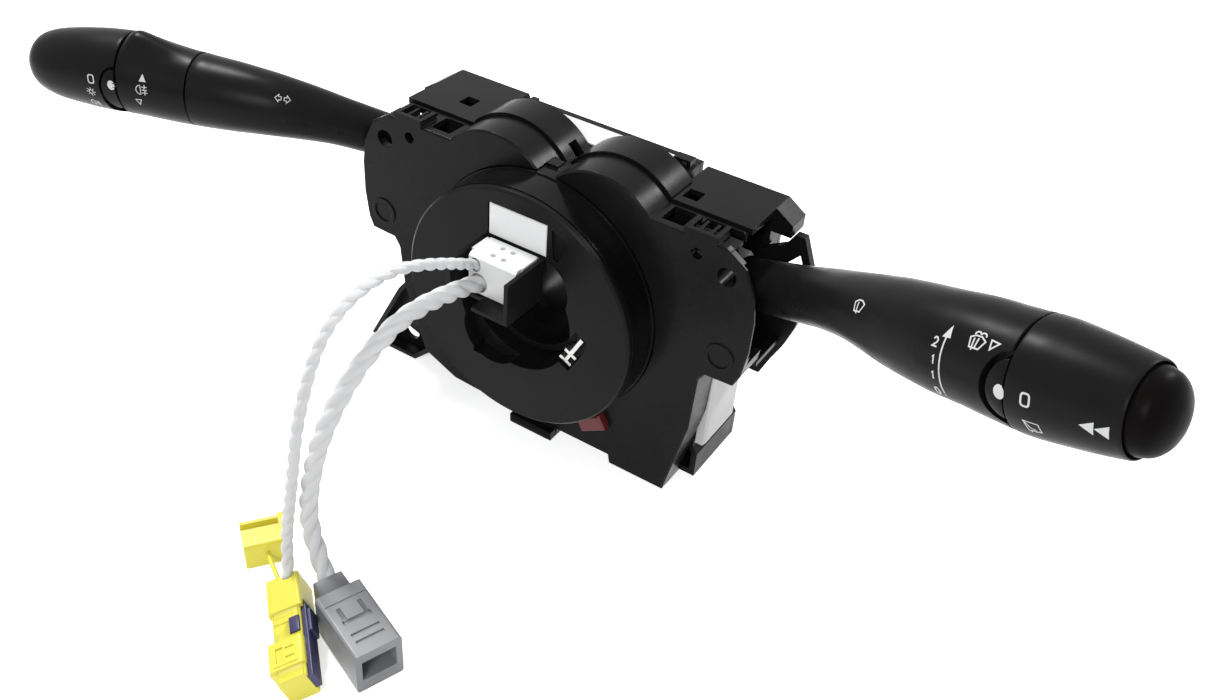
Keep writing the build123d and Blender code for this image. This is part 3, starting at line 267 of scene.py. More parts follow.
@dataclass(frozen=True)
class WovenSleeve:
    """White braided sleeve round a bundle of wires, patterned along the lead's own UV map."""

    name: str
    color: Color
    gap: Color
    turns: float = 9.0
    rows: float = 90.0
    roughness: float = 0.62
    sheen: float = 0.15
    distortion: float = 0.6
    band: Pair = (0.15, 0.7)
    relief: float = 0.6
    height: float = 0.00025

    def material(self) -> Material:
        """Build the finish.

        Returns:
            The material.
        """
        shade = Shade(self.name)
        surface = shade.add("ShaderNodeTexCoord").outputs["UV"]
        waves = []
        for tilt in (1.0, -1.0):
            spread = shade.join("ShaderNodeMapping", surface, Scale=(self.rows, self.turns * tilt, 1.0))
            wave = shade.add("ShaderNodeTexWave", bands_direction="DIAGONAL", Scale=1.0, Distortion=self.distortion)
            shade.link(spread, wave.inputs["Vector"])
            waves.append(wave.outputs["Fac"])
        braid = shade.join("ShaderNodeMath", *waves, operation="MAXIMUM")
        shade.feed(Base_Color=shade.mix(shade.remap(braid, *self.band, 1.0, 0.0), self.color, self.gap),
                   Roughness=self.roughness, Sheen_Weight=self.sheen)
        shade.bump(braid, self.relief, self.height)
        return shade.material


class Finish(Enum):
    """Finishes of the unit's pieces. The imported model's slots go by the same names, in small letters."""

    HOUSING = Solid("housing black", (0.006, 0.006, 0.0062), (0.0105, 0.0102, 0.0106), 0.26, level=0.08)
    STALK = Solid("stalk black", (0.0055, 0.0052, 0.0053), (0.009, 0.0084, 0.0086), 0.32, 3400.0, 0.00003,
                  level=0.08)
    BUTTON = Solid("button black", (0.0034, 0.0026, 0.0025), (0.0055, 0.0043, 0.0042), 0.36, 3400.0, 0.00003,
                   level=0.03)
    ROTOR = Solid("rotor black", (0.0072, 0.007, 0.0072), (0.012, 0.0116, 0.012), 0.34, level=0.07)
    GLOSS = PolishedPlastic("drum gloss black", (0.0035, 0.0035, 0.0038), (0.01065, 0.01065, 0.01122))
    WHITE = Solid("connector white", (0.76, 0.76, 0.75), (0.68, 0.68, 0.67), 0.45, 1500.0)
    PALE = Solid("socket pale grey", (0.56, 0.56, 0.54), (0.5, 0.5, 0.48), 0.5, 1500.0)
    LABEL = Solid("label paper", (0.6, 0.6, 0.59), (0.54, 0.54, 0.53), 0.6, 900.0, 0.00001, 0.0)
    YELLOW = Solid("connector yellow", (0.72, 0.65, 0.06), (0.62, 0.55, 0.05), 0.36, 1500.0)
    BLUE = Solid("latch dark blue", (0.02, 0.018, 0.075), (0.03, 0.027, 0.1), 0.38, 1500.0)
    GREY = Solid("connector grey", (0.2, 0.205, 0.21), (0.27, 0.275, 0.28), 0.4, 1500.0)
    RED = Solid("lock red", (0.13, 0.011, 0.012), (0.09, 0.009, 0.009), 0.45, 1500.0)
    RIBBON = Solid("flat cable", (0.5, 0.42, 0.22), (0.44, 0.37, 0.2), 0.4, 900.0)
    BOARD = Solid("circuit board green", (0.02, 0.12, 0.05), (0.03, 0.15, 0.07), 0.4, 900.0)
    PRINT = Solid("print white", (0.58, 0.58, 0.57), (0.5, 0.5, 0.49), 0.5, 900.0, 0.00001, 0.0)
    STEEL = PlatedSteel("plated steel", (0.62, 0.62, 0.61), (0.4464, 0.4464, 0.4392))
    BRASS = PlatedSteel("tinned brass", (0.72, 0.6, 0.34), (0.5184, 0.432, 0.2448))
    CORD = WovenSleeve("woven sleeve", (0.88, 0.88, 0.87), (0.74, 0.74, 0.74))


@cache
def material_of(finish: Finish) -> Material:
    """A finish's material, made when first asked for."""
    return finish.value.material()


def dress(piece: Piece, finish: Finish) -> None:
    """Give a piece one finish all over."""
    piece.data.materials.clear()
    piece.data.materials.append(material_of(finish))


# ---- hand tools
NODE_WELD = 1e-6
TURNED_WELD = 2e-6
BLOCK_EDGE_STEPS = 3
SMOOTH_ANGLE = 32.0
OVAL_SIDES = 72


class Bench:
    """Hand tools that shape one piece at a time. Places and sizes are given in millimetres."""

    @staticmethod
    def take(piece: Piece) -> None:
        """Select only this piece and make it the active one."""
        bpy.ops.object.select_all(action="DESELECT")
        piece.select_set(True)
        bpy.context.view_layer.objects.active = piece

    @staticmethod
    def added(name: str, data: bpy.types.ID) -> Piece:
        """A new object in the scene that shows a mesh, a lamp or a camera."""
        piece = bpy.data.objects.new(name, data)
        bpy.context.scene.collection.objects.link(piece)
        return piece

    @staticmethod
    def fresh(name: str, make: Callable, **values: object) -> Piece:
        """Make a new piece with one of the mesh primitives' operators.

        Args:
            name: its name.
            make: the operator.
            values: the operator's settings.

        Returns:
            The piece.
        """
        bpy.ops.object.select_all(action="DESELECT")
        make(**values)
        piece = bpy.context.object
        piece.name = name
        return piece

    @staticmethod
    @contextmanager
    def editing(piece: Piece) -> Iterator[None]:
        """Keep a piece in edit mode, with all of it selected, for the length of a block."""
        Bench.take(piece)
        bpy.ops.object.mode_set(mode="EDIT")
        bpy.ops.mesh.select_all(action="SELECT")
        yield
        bpy.ops.object.mode_set(mode="OBJECT")

    @staticmethod
    def settle(piece: Piece, place: Matrix) -> None:
        """Give a fresh piece its place, turn and scale, and apply them to its mesh."""
        piece.matrix_world = place
        Bench.take(piece)
        bpy.ops.object.transform_apply(location=True, rotation=True, scale=True)

    @staticmethod
    def finish(piece: Piece, kind: str, **values: object) -> None:
        """Add a modifier to a piece and apply it.

        Args:
            piece: the piece.
            kind: the modifier's type.
            values: the modifier's settings.
        """
        Bench.take(piece)
        modifier = piece.modifiers.new(kind.lower(), kind)
        for key, value in values.items():
            setattr(modifier, key, value)
        bpy.ops.object.modifier_apply(modifier=modifier.name)

    @staticmethod
    def carve(piece: Piece, tool: Piece, mode: str = "DIFFERENCE") -> None:
        """Cut, join or intersect a piece with a tool body, which is used up."""
        Bench.finish(piece, "BOOLEAN", object=tool, operation=mode, solver="EXACT")
        bpy.data.objects.remove(tool)

    @staticmethod
    def smooth(piece: Piece, angle: float = SMOOTH_ANGLE) -> None:
        """Shade a piece smooth apart from its edges sharper than an angle in degrees."""
        Bench.take(piece)
        bpy.ops.object.shade_smooth_by_angle(angle=math.radians(angle))

    @staticmethod
    def copy_of(node: str, name: str) -> Piece:
        """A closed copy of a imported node's mesh to work on."""
        piece = Bench.added(name, frame["nodes"][node].data.copy())
        with Bench.editing(piece):
            bpy.ops.mesh.remove_doubles(threshold=NODE_WELD)
        return piece

    @staticmethod
    def block(name: str, base: Matrix, at: Point, size: Point, round_by: float = 0.0) -> Piece:
        """A block with rounded edges in a piece's own frame.

        Args:
            name: its name.
            base: the frame that its place is given in.
            at: the block's middle.
            size: its three sides.
            round_by: the radius of its edges.

        Returns:
            The block.
        """
        piece = Bench.fresh(name, bpy.ops.mesh.primitive_cube_add, size=1.0)
        Bench.settle(piece, base @ Matrix.Translation(Vector(at) * MM)
                     @ Matrix.Diagonal((*(Vector(size) * MM), 1.0)))
        if round_by:
            Bench.finish(piece, "BEVEL", width=round_by * MM, segments=BLOCK_EDGE_STEPS)
        return piece

    @staticmethod
    def oval(base: Matrix, half_long: float, half_wide: float, low: float, high: float) -> Piece:
        """An oval prism square to a frame's Z axis.

        Args:
            base: the frame.
            half_long: half its size along X.
            half_wide: half its size along Y.
            low: where it starts along Z.
            high: where it ends along Z.

        Returns:
            The prism.
        """
        piece = Bench.fresh("oval", bpy.ops.mesh.primitive_cylinder_add, vertices=OVAL_SIDES, radius=1.0, depth=1.0)
        Bench.settle(piece, base @ Matrix.Translation((0.0, 0.0, (low + high) / 2 * MM))
                     @ Matrix.Diagonal((half_long * MM, half_wide * MM, (high - low) * MM, 1.0)))
        return piece

    @staticmethod
    def lofted(name: str, stations: list[tuple[Vector, float]], start: Vector, end: Vector, sides: int = 72) -> Piece:
        """A closed round limb drawn out ring by ring.

        Args:
            name: its name.
            stations: the middle and radius of each ring.
            start: direction square to the first ring.
            end: direction square to the last ring.
            sides: points round each ring.

        Returns:
            The limb.
        """
        _, means = headings_along([middle for middle, _ in stations])
        headings = [start.normalized(), *means, end.normalized()]
        piece = Bench.fresh(name, bpy.ops.mesh.primitive_circle_add, vertices=sides, radius=1.0, fill_type="NGON")
        turn = WORLD_UP.rotation_difference(headings[0])
        done = Matrix.Identity(4)
        with Bench.editing(piece):
            for number, ((middle, radius), heading) in enumerate(zip(stations, headings)):
                if number:
                    bpy.ops.mesh.extrude_region_move()
                    turn = headings[number - 1].rotation_difference(heading) @ turn
                placed = Matrix.LocRotScale(middle * MM, turn, Vector((radius, radius, radius)) * MM)
                mesh = bmesh.from_edit_mesh(piece.data)
                moving = [point for point in mesh.verts if point.select]
                bmesh.ops.transform(mesh, matrix=placed @ done.inverted(), verts=moving)
                bmesh.update_edit_mesh(piece.data)
                done = placed
            bpy.ops.mesh.select_all(action="SELECT")
            bpy.ops.mesh.normals_make_consistent(inside=False)
        return piece

    @staticmethod
    def turned(name: str, origin: Vector, axis: Vector, profile: Sequence[Pair], sides: int = 96) -> Piece:
        """A body turned about an axis.

        Args:
            name: its name.
            origin: a point on the axis.
            axis: the axis' direction.
            profile: distances along the axis and radii.
            sides: steps round the axis.

        Returns:
            The turned body.
        """
        across = axis.orthogonal().normalized()
        points = [(origin + axis * along + across * radius) * MM for along, radius in profile]
        mesh = bpy.data.meshes.new(name)
        mesh.from_pydata(points, [(n, n + 1) for n in range(len(points) - 1)], [])
        piece = Bench.added(name, mesh)
        with Bench.editing(piece):
            bpy.ops.mesh.spin(steps=sides, angle=math.tau, center=origin * MM, axis=axis)
            bpy.ops.mesh.select_all(action="SELECT")
            bpy.ops.mesh.remove_doubles(threshold=TURNED_WELD)
            bpy.ops.mesh.normals_make_consistent(inside=False)
        return piece

    @staticmethod
    def place(piece: Piece, body: str, finish: Finish, slot: str, *nodes: str) -> None:
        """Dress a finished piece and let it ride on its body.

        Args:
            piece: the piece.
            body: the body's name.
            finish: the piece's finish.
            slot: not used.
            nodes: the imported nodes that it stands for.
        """
        dress(piece, finish)
        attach(piece, body)
        if nodes:
            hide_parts(*nodes)
        log.info("%s made", piece.name)


def headings_along(points: list[Vector]) -> tuple[list[Vector], list[Vector]]:
    """The direction of each run of a line of points, and the mean of the two runs at each inner point."""
    runs = [(b - a).normalized() for a, b in zip(points, points[1:])]
    return runs, [(a + b).normalized() for a, b in zip(runs, runs[1:])]


def eased(points: Rows, steps: int) -> list[Row]:
    """Points on a smooth line through the given points.

    Args:
        points: tuples of numbers.
        steps: steps from each point to the next.

    Returns:
        The given points with the new ones between them.
    """
    rows = [points[0], *points, points[-1]]
    line = []
    for before, here, after, beyond in zip(rows, rows[1:], rows[2:], rows[3:]):
        for step in range(steps):
            t = step / steps
            line.append(tuple(
                0.5 * (2 * b + (c - a) * t + (2 * a - 5 * b + 4 * c - d) * t * t + (3 * b - a - 3 * c + d) * t ** 3)
                for a, b, c, d in zip(before, here, after, beyond)))
    return [*line, tuple(points[-1])]


# ---- studio
@dataclass
class Studio:
    """Camera, lamps, floor and surroundings."""

    lens: float = 33.985
    sensor: float = 36.0
    azimuth: float = 29.0
    elevation: float = 37.9
    roll: float = 5.6
    distance: float = 393 * MM
    target: Point = (30.7 * MM, 0.0, -11.0 * MM)
    clip: Pair = (0.01, 20.0)
    floor_side: float = 6.0
    floor_tone: float = 0.9
    floor_roughness: float = 0.85
    floor_glow: float = 0.62
    sky: Color = (0.9, 0.93, 1.0)
    sky_strength: float = 0.4
    lamps: tuple = (
        ("overhead", (-0.5, 0.12, 0.8), (0.0, -0.02, 0.0), 0.17, 8.0),
        ("rear", (0.45, 0.72, 0.62), (0.0, 0.0, 0.0), 0.16, 4.5),
        ("front", (0.25, -0.85, 0.6), (0.0, -0.03, 0.0), 0.3, 5.0),
    )

    def camera(self) -> None:
        """Place the camera and make it the scene's own."""
        turn, rise, roll = (math.radians(a) for a in (self.azimuth, self.elevation, self.roll))
        back = Vector((math.sin(turn) * math.cos(rise), -math.cos(turn) * math.cos(rise), math.sin(rise)))
        right = Vector((math.cos(turn), math.sin(turn), 0.0))
        up = back.cross(right)
        across = right * math.cos(roll) + up * math.sin(roll)
        above = up * math.cos(roll) - right * math.sin(roll)
        data = bpy.data.cameras.new("camera")
        data.lens = self.lens
        data.sensor_width = self.sensor
        data.clip_start, data.clip_end = self.clip
        eye = Bench.added("camera", data)
        turned = Matrix((across, above, back)).transposed().to_4x4()
        eye.matrix_world = Matrix.Translation(Vector(self.target) + back * self.distance) @ turned
        bpy.context.scene.camera = eye

    def lamp(self, name: str, place: Point, aim: Point, size: float, power: float) -> None:
        """Add one square soft lamp.

        Args:
            name: the lamp's name.
            place: its position.
            aim: the point that it faces.
            size: its side in metres.
            power: its power in watts.
        """
        data = bpy.data.lights.new(name, "AREA")
        data.size = size
        data.energy = power
        lamp = Bench.added(name, data)
        lamp.location = place
        lamp.rotation_euler = (Vector(aim) - Vector(place)).to_track_quat("-Z", "Y").to_euler()

    @staticmethod
    def seen(nodes: Nodes) -> Socket:
        """1 for the rays that show the backdrop: straight to the camera, in a reflection or through glass."""
        rays = nodes.add("ShaderNodeLightPath").outputs
        either = nodes.join("ShaderNodeMath", rays["Is Camera Ray"], rays["Is Glossy Ray"], operation="MAXIMUM")
        return nodes.join("ShaderNodeMath", either, rays["Is Transmission Ray"], operation="MAXIMUM")

    def floor(self) -> None:
        """Lay the floor that the unit stands on."""
        sheet = Bench.fresh("studio_floor", bpy.ops.mesh.primitive_plane_add, size=self.floor_side,
                            location=(0.0, 0.0, BASE_Z))
        shade = Shade("studio white")
        shade.feed(Base_Color=(*[self.floor_tone] * 3, 1.0), Roughness=self.floor_roughness)
        plain = shade.shader.outputs[0]
        lit = shade.join("ShaderNodeAddShader", plain, shade.join("ShaderNodeEmission", Strength=self.floor_glow))
        shade.link(shade.join("ShaderNodeMixShader", self.seen(shade), plain, lit), shade.output.inputs[0])
        sheet.data.materials.append(shade.material)

    def surroundings(self) -> None:
        """White to the camera, plain soft light for everything else."""
        world = bpy.data.worlds.new("studio")
        bpy.context.scene.world = world
        world.use_nodes = True
        nodes = Nodes(world.node_tree)
        out = nodes.add("ShaderNodeOutputWorld")
        soft = nodes.join("ShaderNodeBackground", Color=(*self.sky, 1.0), Strength=self.sky_strength)
        white = nodes.join("ShaderNodeBackground", Color=(1.0, 1.0, 1.0, 1.0), Strength=1.0)
        nodes.link(nodes.join("ShaderNodeMixShader", self.seen(nodes), soft, white), out.inputs[0])

    def build(self) -> None:
        """Set up the whole studio."""
        self.camera()
        self.floor()
        self.surroundings()
        for lamp in self.lamps:
            self.lamp(*lamp)
        bpy.context.scene.view_settings.view_transform = "Standard"
        log.info("studio ready")


# ---- stalks
@dataclass
class StalkShape:
    """What both stalks share: the split between arm and knobs, and the knobs' axis."""

    side: str
    split: Vector
    axis: Vector
    stations: Rows
    tongue_line: Rows
    tongue: Row
    tail_z: float = 19.0
    tail_y: Pair = (17.0, 29.0)
    tail_x: Pair = (54.4, 67.5)
    tail_h: float = 8.0
    tail_edge: float = 0.5
    pin_at: Pair = (59.0, 23.0)
    pin_r: float = 2.08
    pin_reach: float = 9.0
    steps: int = 5

    def on_axis(self, along: float) -> Vector:
        """A point on the knobs' axis."""
        return self.split + self.axis * along

    def facing(self, turn: float, along: float = 0.0) -> Matrix:
        """Frame on the knobs' axis whose X runs along it and whose Z looks out at an angle round it.

        Args:
            turn: the angle in degrees.
            along: how far along the axis it stands.

        Returns:
            The frame.
        """
        side = WORLD_UP.cross(self.axis).normalized()
        rise = self.axis.cross(side)
        out = side * math.cos(math.radians(turn)) + rise * math.sin(math.radians(turn))
        turned = Matrix((self.axis, out.cross(self.axis), out)).transposed().to_4x4()
        return Matrix.Translation(self.on_axis(along) * MM) @ turned

    def arm(self, lip: list[tuple[Vector, float]]) -> Piece:
        """The arm from its tail in the housing to its end.

        Args:
            lip: the middle and radius of the last rings.

        Returns:
            The arm.
        """
        sign = 1.0 if self.side == "right" else -1.0
        smooth_line = [(Vector(row[:3]), row[3]) for row in eased(self.stations, self.steps)]
        piece = Bench.lofted(f"{self.side}_arm_shell", [*smooth_line, *lip], Vector((sign, 0.0, 0.0)), self.axis)
        low, high = self.tail_x
        tail = Bench.block("tail", Matrix.Identity(4), (sign * (low + high) / 2, sum(self.tail_y) / 2, self.tail_z),
                           (high - low, self.tail_y[1] - self.tail_y[0], self.tail_h), self.tail_edge)
        Bench.carve(piece, tail, "UNION")
        upright = Matrix.Translation(Vector((sign * self.pin_at[0], self.pin_at[1], self.tail_z)) * MM)
        Bench.carve(piece, Bench.oval(upright, self.pin_r, self.pin_r, -self.pin_reach, self.pin_reach))
        return piece

    def turned(self, name: str, seat: Rows, line: Rows, end: Rows = ()) -> Piece:
        """A knob turned about the axis: a straight seat, a smooth line and a straight end."""
        return Bench.turned(name, self.split, self.axis, [*seat, *eased(line, self.steps), *end])

    def pointer(self, around: Matrix) -> Piece:
        """The raised tongue that points at the knob's marks."""
        piece = Bench.turned(f"{self.side}_pointer_tongue", self.split, self.axis, self.tongue_line)
        Bench.carve(piece, Bench.oval(around, *self.tongue), "INTERSECT")
        return piece

    @staticmethod
    def fit(piece: Piece, body: str, node: str, finish: Finish = Finish.STALK, angle: float = SMOOTH_ANGLE) -> None:
        """Smooth a finished shell, dress it and let it ride on its body in its node's place."""
        Bench.smooth(piece, angle)
        Bench.place(piece, body, finish, "stalk", node)


@dataclass
class LeftStalk(StalkShape):
    """Lighting stalk: arm, fog lamp ring, pointer and light knob."""

    side: str = "left"
    split: Vector = Vector((-157.6, -29.1, 41.75))
    axis: Vector = LEFT_AXIS
    stations: Rows = (
        (-65.5, 20.9, 21.6, 7.3), (-72.0, 18.4, 23.9, 7.5), (-80.0, 13.7, 26.6, 8.05), (-91.0, 4.2, 31.8, 8.7),
        (-98.5, -2.4, 35.0, 9.7), (-109.0, -10.4, 38.1, 11.1), (-120.5, -15.8, 39.2, 12.2),
        (-131.0, -19.5, 39.45, 12.85))
    lip: Rows = ((-0.95, 12.95), (-0.65, 12.6))
    ring_end: float = -25.0
    ring_drop: float = -3.1
    ring_edge: float = 0.25
    ring_inset: float = 0.2
    ring_angle: float = 28.0
    pointer_turn: float = -5.0
    knob_turns: Row = (0.0, -18.0, -36.0)
    ridge_turn: float = 84.0
    ridge_height: float = 2.9
    ridge_run: float = 21.0
    ridge_front: Pair = (0.8, 5.0)
    ridge_spread: float = 0.36
    ring_rows: Rows = (
        (-25.0, 12.95, -3.1), (-18.0, 13.3, -2.5), (-9.0, 13.8, -1.3), (-4.0, 14.15, -0.6), (-1.1, 14.33, -0.25))
    ring_steps: int = 6
    ring_sides: int = 120
    knob_seat: Rows = ((-0.3, 0.0), (-0.3, 14.1), (-0.05, 14.38))
    knob_line: Rows = ((0.3, 14.45), (8.0, 14.35), (14.0, 13.95), (22.0, 13.1), (29.0, 11.9), (34.2, 9.9), (37.3, 7.0),
                       (38.9, 3.8), (39.4, 0.0))
    pocket: Row = (5.8, 8.3, 9.6, 20.0)
    tongue_line: Rows = ((-0.45, 11.0), (-0.45, 14.62), (5.0, 14.62), (5.0, 11.0), (-0.45, 11.0))
    pointer_along: float = 0.9
    tongue: Row = (3.7, 7.3, 9.8, 20.0)

    def ridge(self, piece: Piece) -> None:
        """Raise the long ridge on the ring's upper side, tall at the knob and gone at the arm.

        Args:
            piece: the ring.
        """
        out = self.facing(self.ridge_turn).to_3x3().col[2]
        for point in piece.data.vertices:
            away = point.co / MM - self.split
            along = away.dot(self.axis)
            radial = away - self.axis * along
            lean = radial.normalized().angle(out)
            run = min(max((along - self.ring_end) / self.ridge_run, 0.0), 1.0)
            inset, length = self.ridge_front
            front = math.sin(min(max((-along - inset) / length, 0.0), 1.0) * math.pi / 2)
            height = self.ridge_height * run * run * (3 - 2 * run) * front * math.exp(-(lean / self.ridge_spread) ** 2)
            point.co += radial.normalized() * height * MM

    def build(self) -> None:
        """Make the stalk's visible pieces."""
        lip = [(self.on_axis(self.ring_end + along) + WORLD_UP * self.ring_drop, radius) for along, radius in self.lip]
        self.fit(self.arm(lip), "left_stalk", "left_arm")

        rings = [(self.on_axis(along) + WORLD_UP * drop, radius)
                 for along, radius, drop in eased(self.ring_rows, self.ring_steps)]
        (first, first_r), (last, last_r) = rings[0], rings[-1]
        rings = [(first - self.axis * self.ring_inset, first_r - self.ring_edge), *rings,
                 (last + self.axis * self.ring_edge, last_r - self.ring_edge)]
        ring = Bench.lofted("fog_ring_shell", rings, self.axis, self.axis, self.ring_sides)
        self.ridge(ring)
        self.fit(ring, "fog_control", "fog_ring", angle=self.ring_angle)

        knob = self.turned("light_knob_shell", self.knob_seat, self.knob_line)
        for turn in self.knob_turns:
            Bench.carve(knob, Bench.oval(self.facing(self.pointer_turn + turn), *self.pocket))
        self.fit(knob, "light_control", "light_knob")

        self.fit(self.pointer(self.facing(self.pointer_turn, self.pointer_along)), "left_stalk", "left_pointer")


@dataclass
class RightStalk(StalkShape):
    """Wiper stalk: arm, pointer, rear wiper knob and end button."""

    side: str = "right"
    split: Vector = Vector((163.7, -31.3, 66.2))
    axis: Vector = RIGHT_AXIS
    stations: Rows = (
        (65.5, 20.9, 22.2, 8.0), (72.0, 18.4, 24.2, 8.3), (80.0, 15.4, 27.5, 8.65), (91.0, 8.4, 34.2, 8.8),
        (100.5, 1.5, 40.7, 9.1), (110.5, -5.6, 46.7, 9.9), (118.5, -10.5, 50.4, 11.1), (127.0, -15.3, 53.8, 12.45),
        (140.0, -22.4, 58.9, 13.6), (149.2, -26.0, 62.1, 14.15), (156.5, -28.7, 64.1, 14.45))
    lip: Rows = ((-3.5, 14.6), (-0.75, 14.7), (-0.5, 14.45))
    pointer_turn: float = 179.0
    pointer_along: float = -0.4
    pointer_edge: float = 0.35
    pointer_edge_steps: int = 2
    pocket: Row = (6.3, 9.2, 9.4, 24.0)
    tongue_line: Rows = ((-9.0, 0.0), (-9.0, 14.3), (-0.45, 14.45), (-0.45, 0.0))
    tongue: Row = (4.6, 7.6, 9.42, 24.0)
    knob_seat: Rows = ((0.1, 0.0), (0.1, 14.5), (0.35, 14.75))
    knob_line: Rows = ((0.6, 14.8), (5.0, 14.75), (10.0, 14.3), (15.0, 13.75), (20.0, 13.1), (24.0, 12.5), (26.8, 12.0))
    knob_end: Rows = ((27.4, 11.75), (27.5, 11.5), (27.3, 11.35), (22.4, 11.35), (22.4, 0.0))
    button_seat: Rows = ((24.8, 0.0), (24.8, 10.55), (27.2, 10.75))
    button_line: Rows = ((28.0, 10.75), (30.8, 9.85), (32.9, 7.8), (34.1, 5.1), (34.75, 2.5), (34.95, 0.0))

    def build(self) -> None:
        """Make the stalk's visible pieces."""
        arm = self.arm([(self.on_axis(along), radius) for along, radius in self.lip])
        around = self.facing(self.pointer_turn, self.pointer_along)
        Bench.carve(arm, Bench.oval(around, *self.pocket))
        self.fit(arm, "right_stalk", "right_arm")

        tongue = self.pointer(around)
        Bench.finish(tongue, "BEVEL", width=self.pointer_edge * MM, segments=self.pointer_edge_steps)
        self.fit(tongue, "right_stalk", "right_pointer")

        knob = self.turned("rear_wipe_knob_shell", self.knob_seat, self.knob_line, self.knob_end)
        self.fit(knob, "rear_wipe_control", "rear_wipe_knob")

        button = self.turned("end_button_cap", self.button_seat, self.button_line)
        self.fit(button, "end_control", "end_button", Finish.BUTTON)


# ---- printed symbols
Stroke = list[Pair]
SHARPEST_MITRE = 0.35


@dataclass(frozen=True)
class Ground:
    """A surface that carries printed symbols: its body, its shell and the way that the print runs."""

    body: str
    shell: str
    right: Vector

    def tree(self) -> BVHTree:
        """Search tree of the shell's surface."""
        shell = bpy.data.objects[self.shell].data
        return BVHTree.FromPolygons([point.co for point in shell.vertices],
                                    [tuple(face.vertices) for face in shell.polygons])


@dataclass
class Print:
    """A printed symbol laid on the surface that carries it."""

    name: str
    ground: Ground
    at: Point
    facing: Point
    lines: Sequence[Stroke] = ()
    fills: Sequence[Stroke] = ()
    width: float = 0.42
    proud: float = 0.03
    depth: float = 0.09
    reach: float = 8.0
    weld: float = 0.001
    cuts: int = 2

    def build(self) -> None:
        """Draw the symbol flat, wrap it on its ground and give it a little thickness."""
        out = Vector(self.facing).normalized()
        right = (self.ground.right - out * self.ground.right.dot(out)).normalized()
        up = out.cross(right)
        flat = bmesh.new()
        for line in self.lines:
            self.ribbon(flat, line)
        for outline in self.fills:
            flat.faces.new([flat.verts.new((x, y, 0.0)) for x, y in outline])
        mesh = bpy.data.meshes.new(self.name)
        bmesh.ops.remove_doubles(flat, verts=flat.verts, dist=self.weld)
        flat.to_mesh(mesh)
        flat.free()
        piece = Bench.added(self.name, mesh)
        with Bench.editing(piece):
            bpy.ops.mesh.quads_convert_to_tris()
            bpy.ops.mesh.subdivide(number_cuts=self.cuts)
        surface = self.ground.tree()
        for point in piece.data.vertices:
            start = (Vector(self.at) + right * point.co.x + up * point.co.y + out * self.reach) * MM
            hit = surface.ray_cast(start, -out)[0]
            landed = start - out * self.reach * MM if hit is None else hit
            point.co = landed + out * self.proud * MM
        with Bench.editing(piece):
            bpy.ops.mesh.normals_make_consistent(inside=False)
        if sum(face.normal.dot(out) * face.area for face in piece.data.polygons) < 0:
            piece.data.flip_normals()
        Bench.finish(piece, "SOLIDIFY", thickness=self.depth * MM, offset=-1.0)
        Bench.place(piece, self.ground.body, Finish.PRINT, "white")

    def ribbon(self, flat: bmesh.types.BMesh, line: Stroke) -> None:
        """Draw one stroke of even width with mitred corners.

        Args:
            flat: the mesh that it is drawn in.
            line: the stroke's points. A stroke that ends where it starts is closed.
        """
        closed = line[0] == line[-1]
        points = [Vector((*point, 0.0)) for point in (line[:-1] if closed else line)]
        edges = []
        for number, here in enumerate(points):
            before = points[number - 1] if number or closed else here
            after = points[(number + 1) % len(points)] if number < len(points) - 1 or closed else here
            runs = [run.normalized() for run in (here - before, after - here) if run.length > 0]
            mean = sum(runs, Vector()).normalized()
            side = Vector((-mean.y, mean.x, 0.0))
            reach = self.width / 2 / max(side.dot(Vector((-runs[0].y, runs[0].x, 0.0))), SHARPEST_MITRE)
            edges.append((flat.verts.new(here + side * reach), flat.verts.new(here - side * reach)))
        pairs = zip(edges, edges[1:] + edges[:1]) if closed else zip(edges, edges[1:])
        for (a, b), (c, d) in pairs:
            flat.faces.new((a, b, d, c))


def ring_of(x: float, y: float, half_w: float, half_h: float, count: int = 20, power: float = 2.0) -> Stroke:
    """A closed oval stroke, squarer as the power grows."""
    turns = [math.tau * n / count for n in range(count)]
    line = [(x + half_w * math.copysign(abs(math.cos(t)) ** (2 / power), math.cos(t)),
             y + half_h * math.copysign(abs(math.sin(t)) ** (2 / power), math.sin(t))) for t in turns]
    return [*line, line[0]]


def arc(x: float, y: float, radius: float, start: float, end: float, count: int = 12) -> Stroke:
    """An open circular stroke between two angles in degrees."""
    turns = [math.radians(start + (end - start) * n / count) for n in range(count + 1)]
    return [(x + radius * math.cos(t), y + radius * math.sin(t)) for t in turns]


def loop(*points: Pair) -> Stroke:
    """A closed stroke through corner points."""
    return [*points, points[0]]


def arrow(x: float, way: float) -> Stroke:
    """Outline of a turn arrow that points left or right."""
    half = [(0.0, 0.55), (0.9, 0.55), (0.9, 1.3), (2.1, 0.0)]
    upper = [(x + way * a, b) for a, b in half]
    lower = [(x + way * a, -b) for a, b in reversed(half[:-1])]
    return loop(*upper, *lower)


WINDSCREEN = [(-1.6, -1.5), (-2.1, 0.9), (-0.9, 1.6), (0.7, 1.6), (2.1, 0.7), (0.9, -1.5)]
KNOB = Ground("light_control", "light_knob_shell", -LEFT_AXIS)
RING = Ground("fog_control", "fog_ring_shell", -LEFT_AXIS)
LEVER = Ground("left_stalk", "left_arm_shell", -LEFT_AXIS)
LEFT_TIP = Ground("left_stalk", "left_pointer_tongue", -LEFT_AXIS)
ARM = Ground("right_stalk", "right_arm_shell", RIGHT_AXIS)
RIGHT_TIP = Ground("right_stalk", "right_pointer_tongue", RIGHT_AXIS)
REAR = Ground("rear_wipe_control", "rear_wipe_knob_shell", RIGHT_AXIS)
RAYS = [[(1.05 * math.cos(t), 1.05 * math.sin(t)), (1.75 * math.cos(t), 1.75 * math.sin(t))]
        for t in (math.tau * n / 8 for n in range(8))]
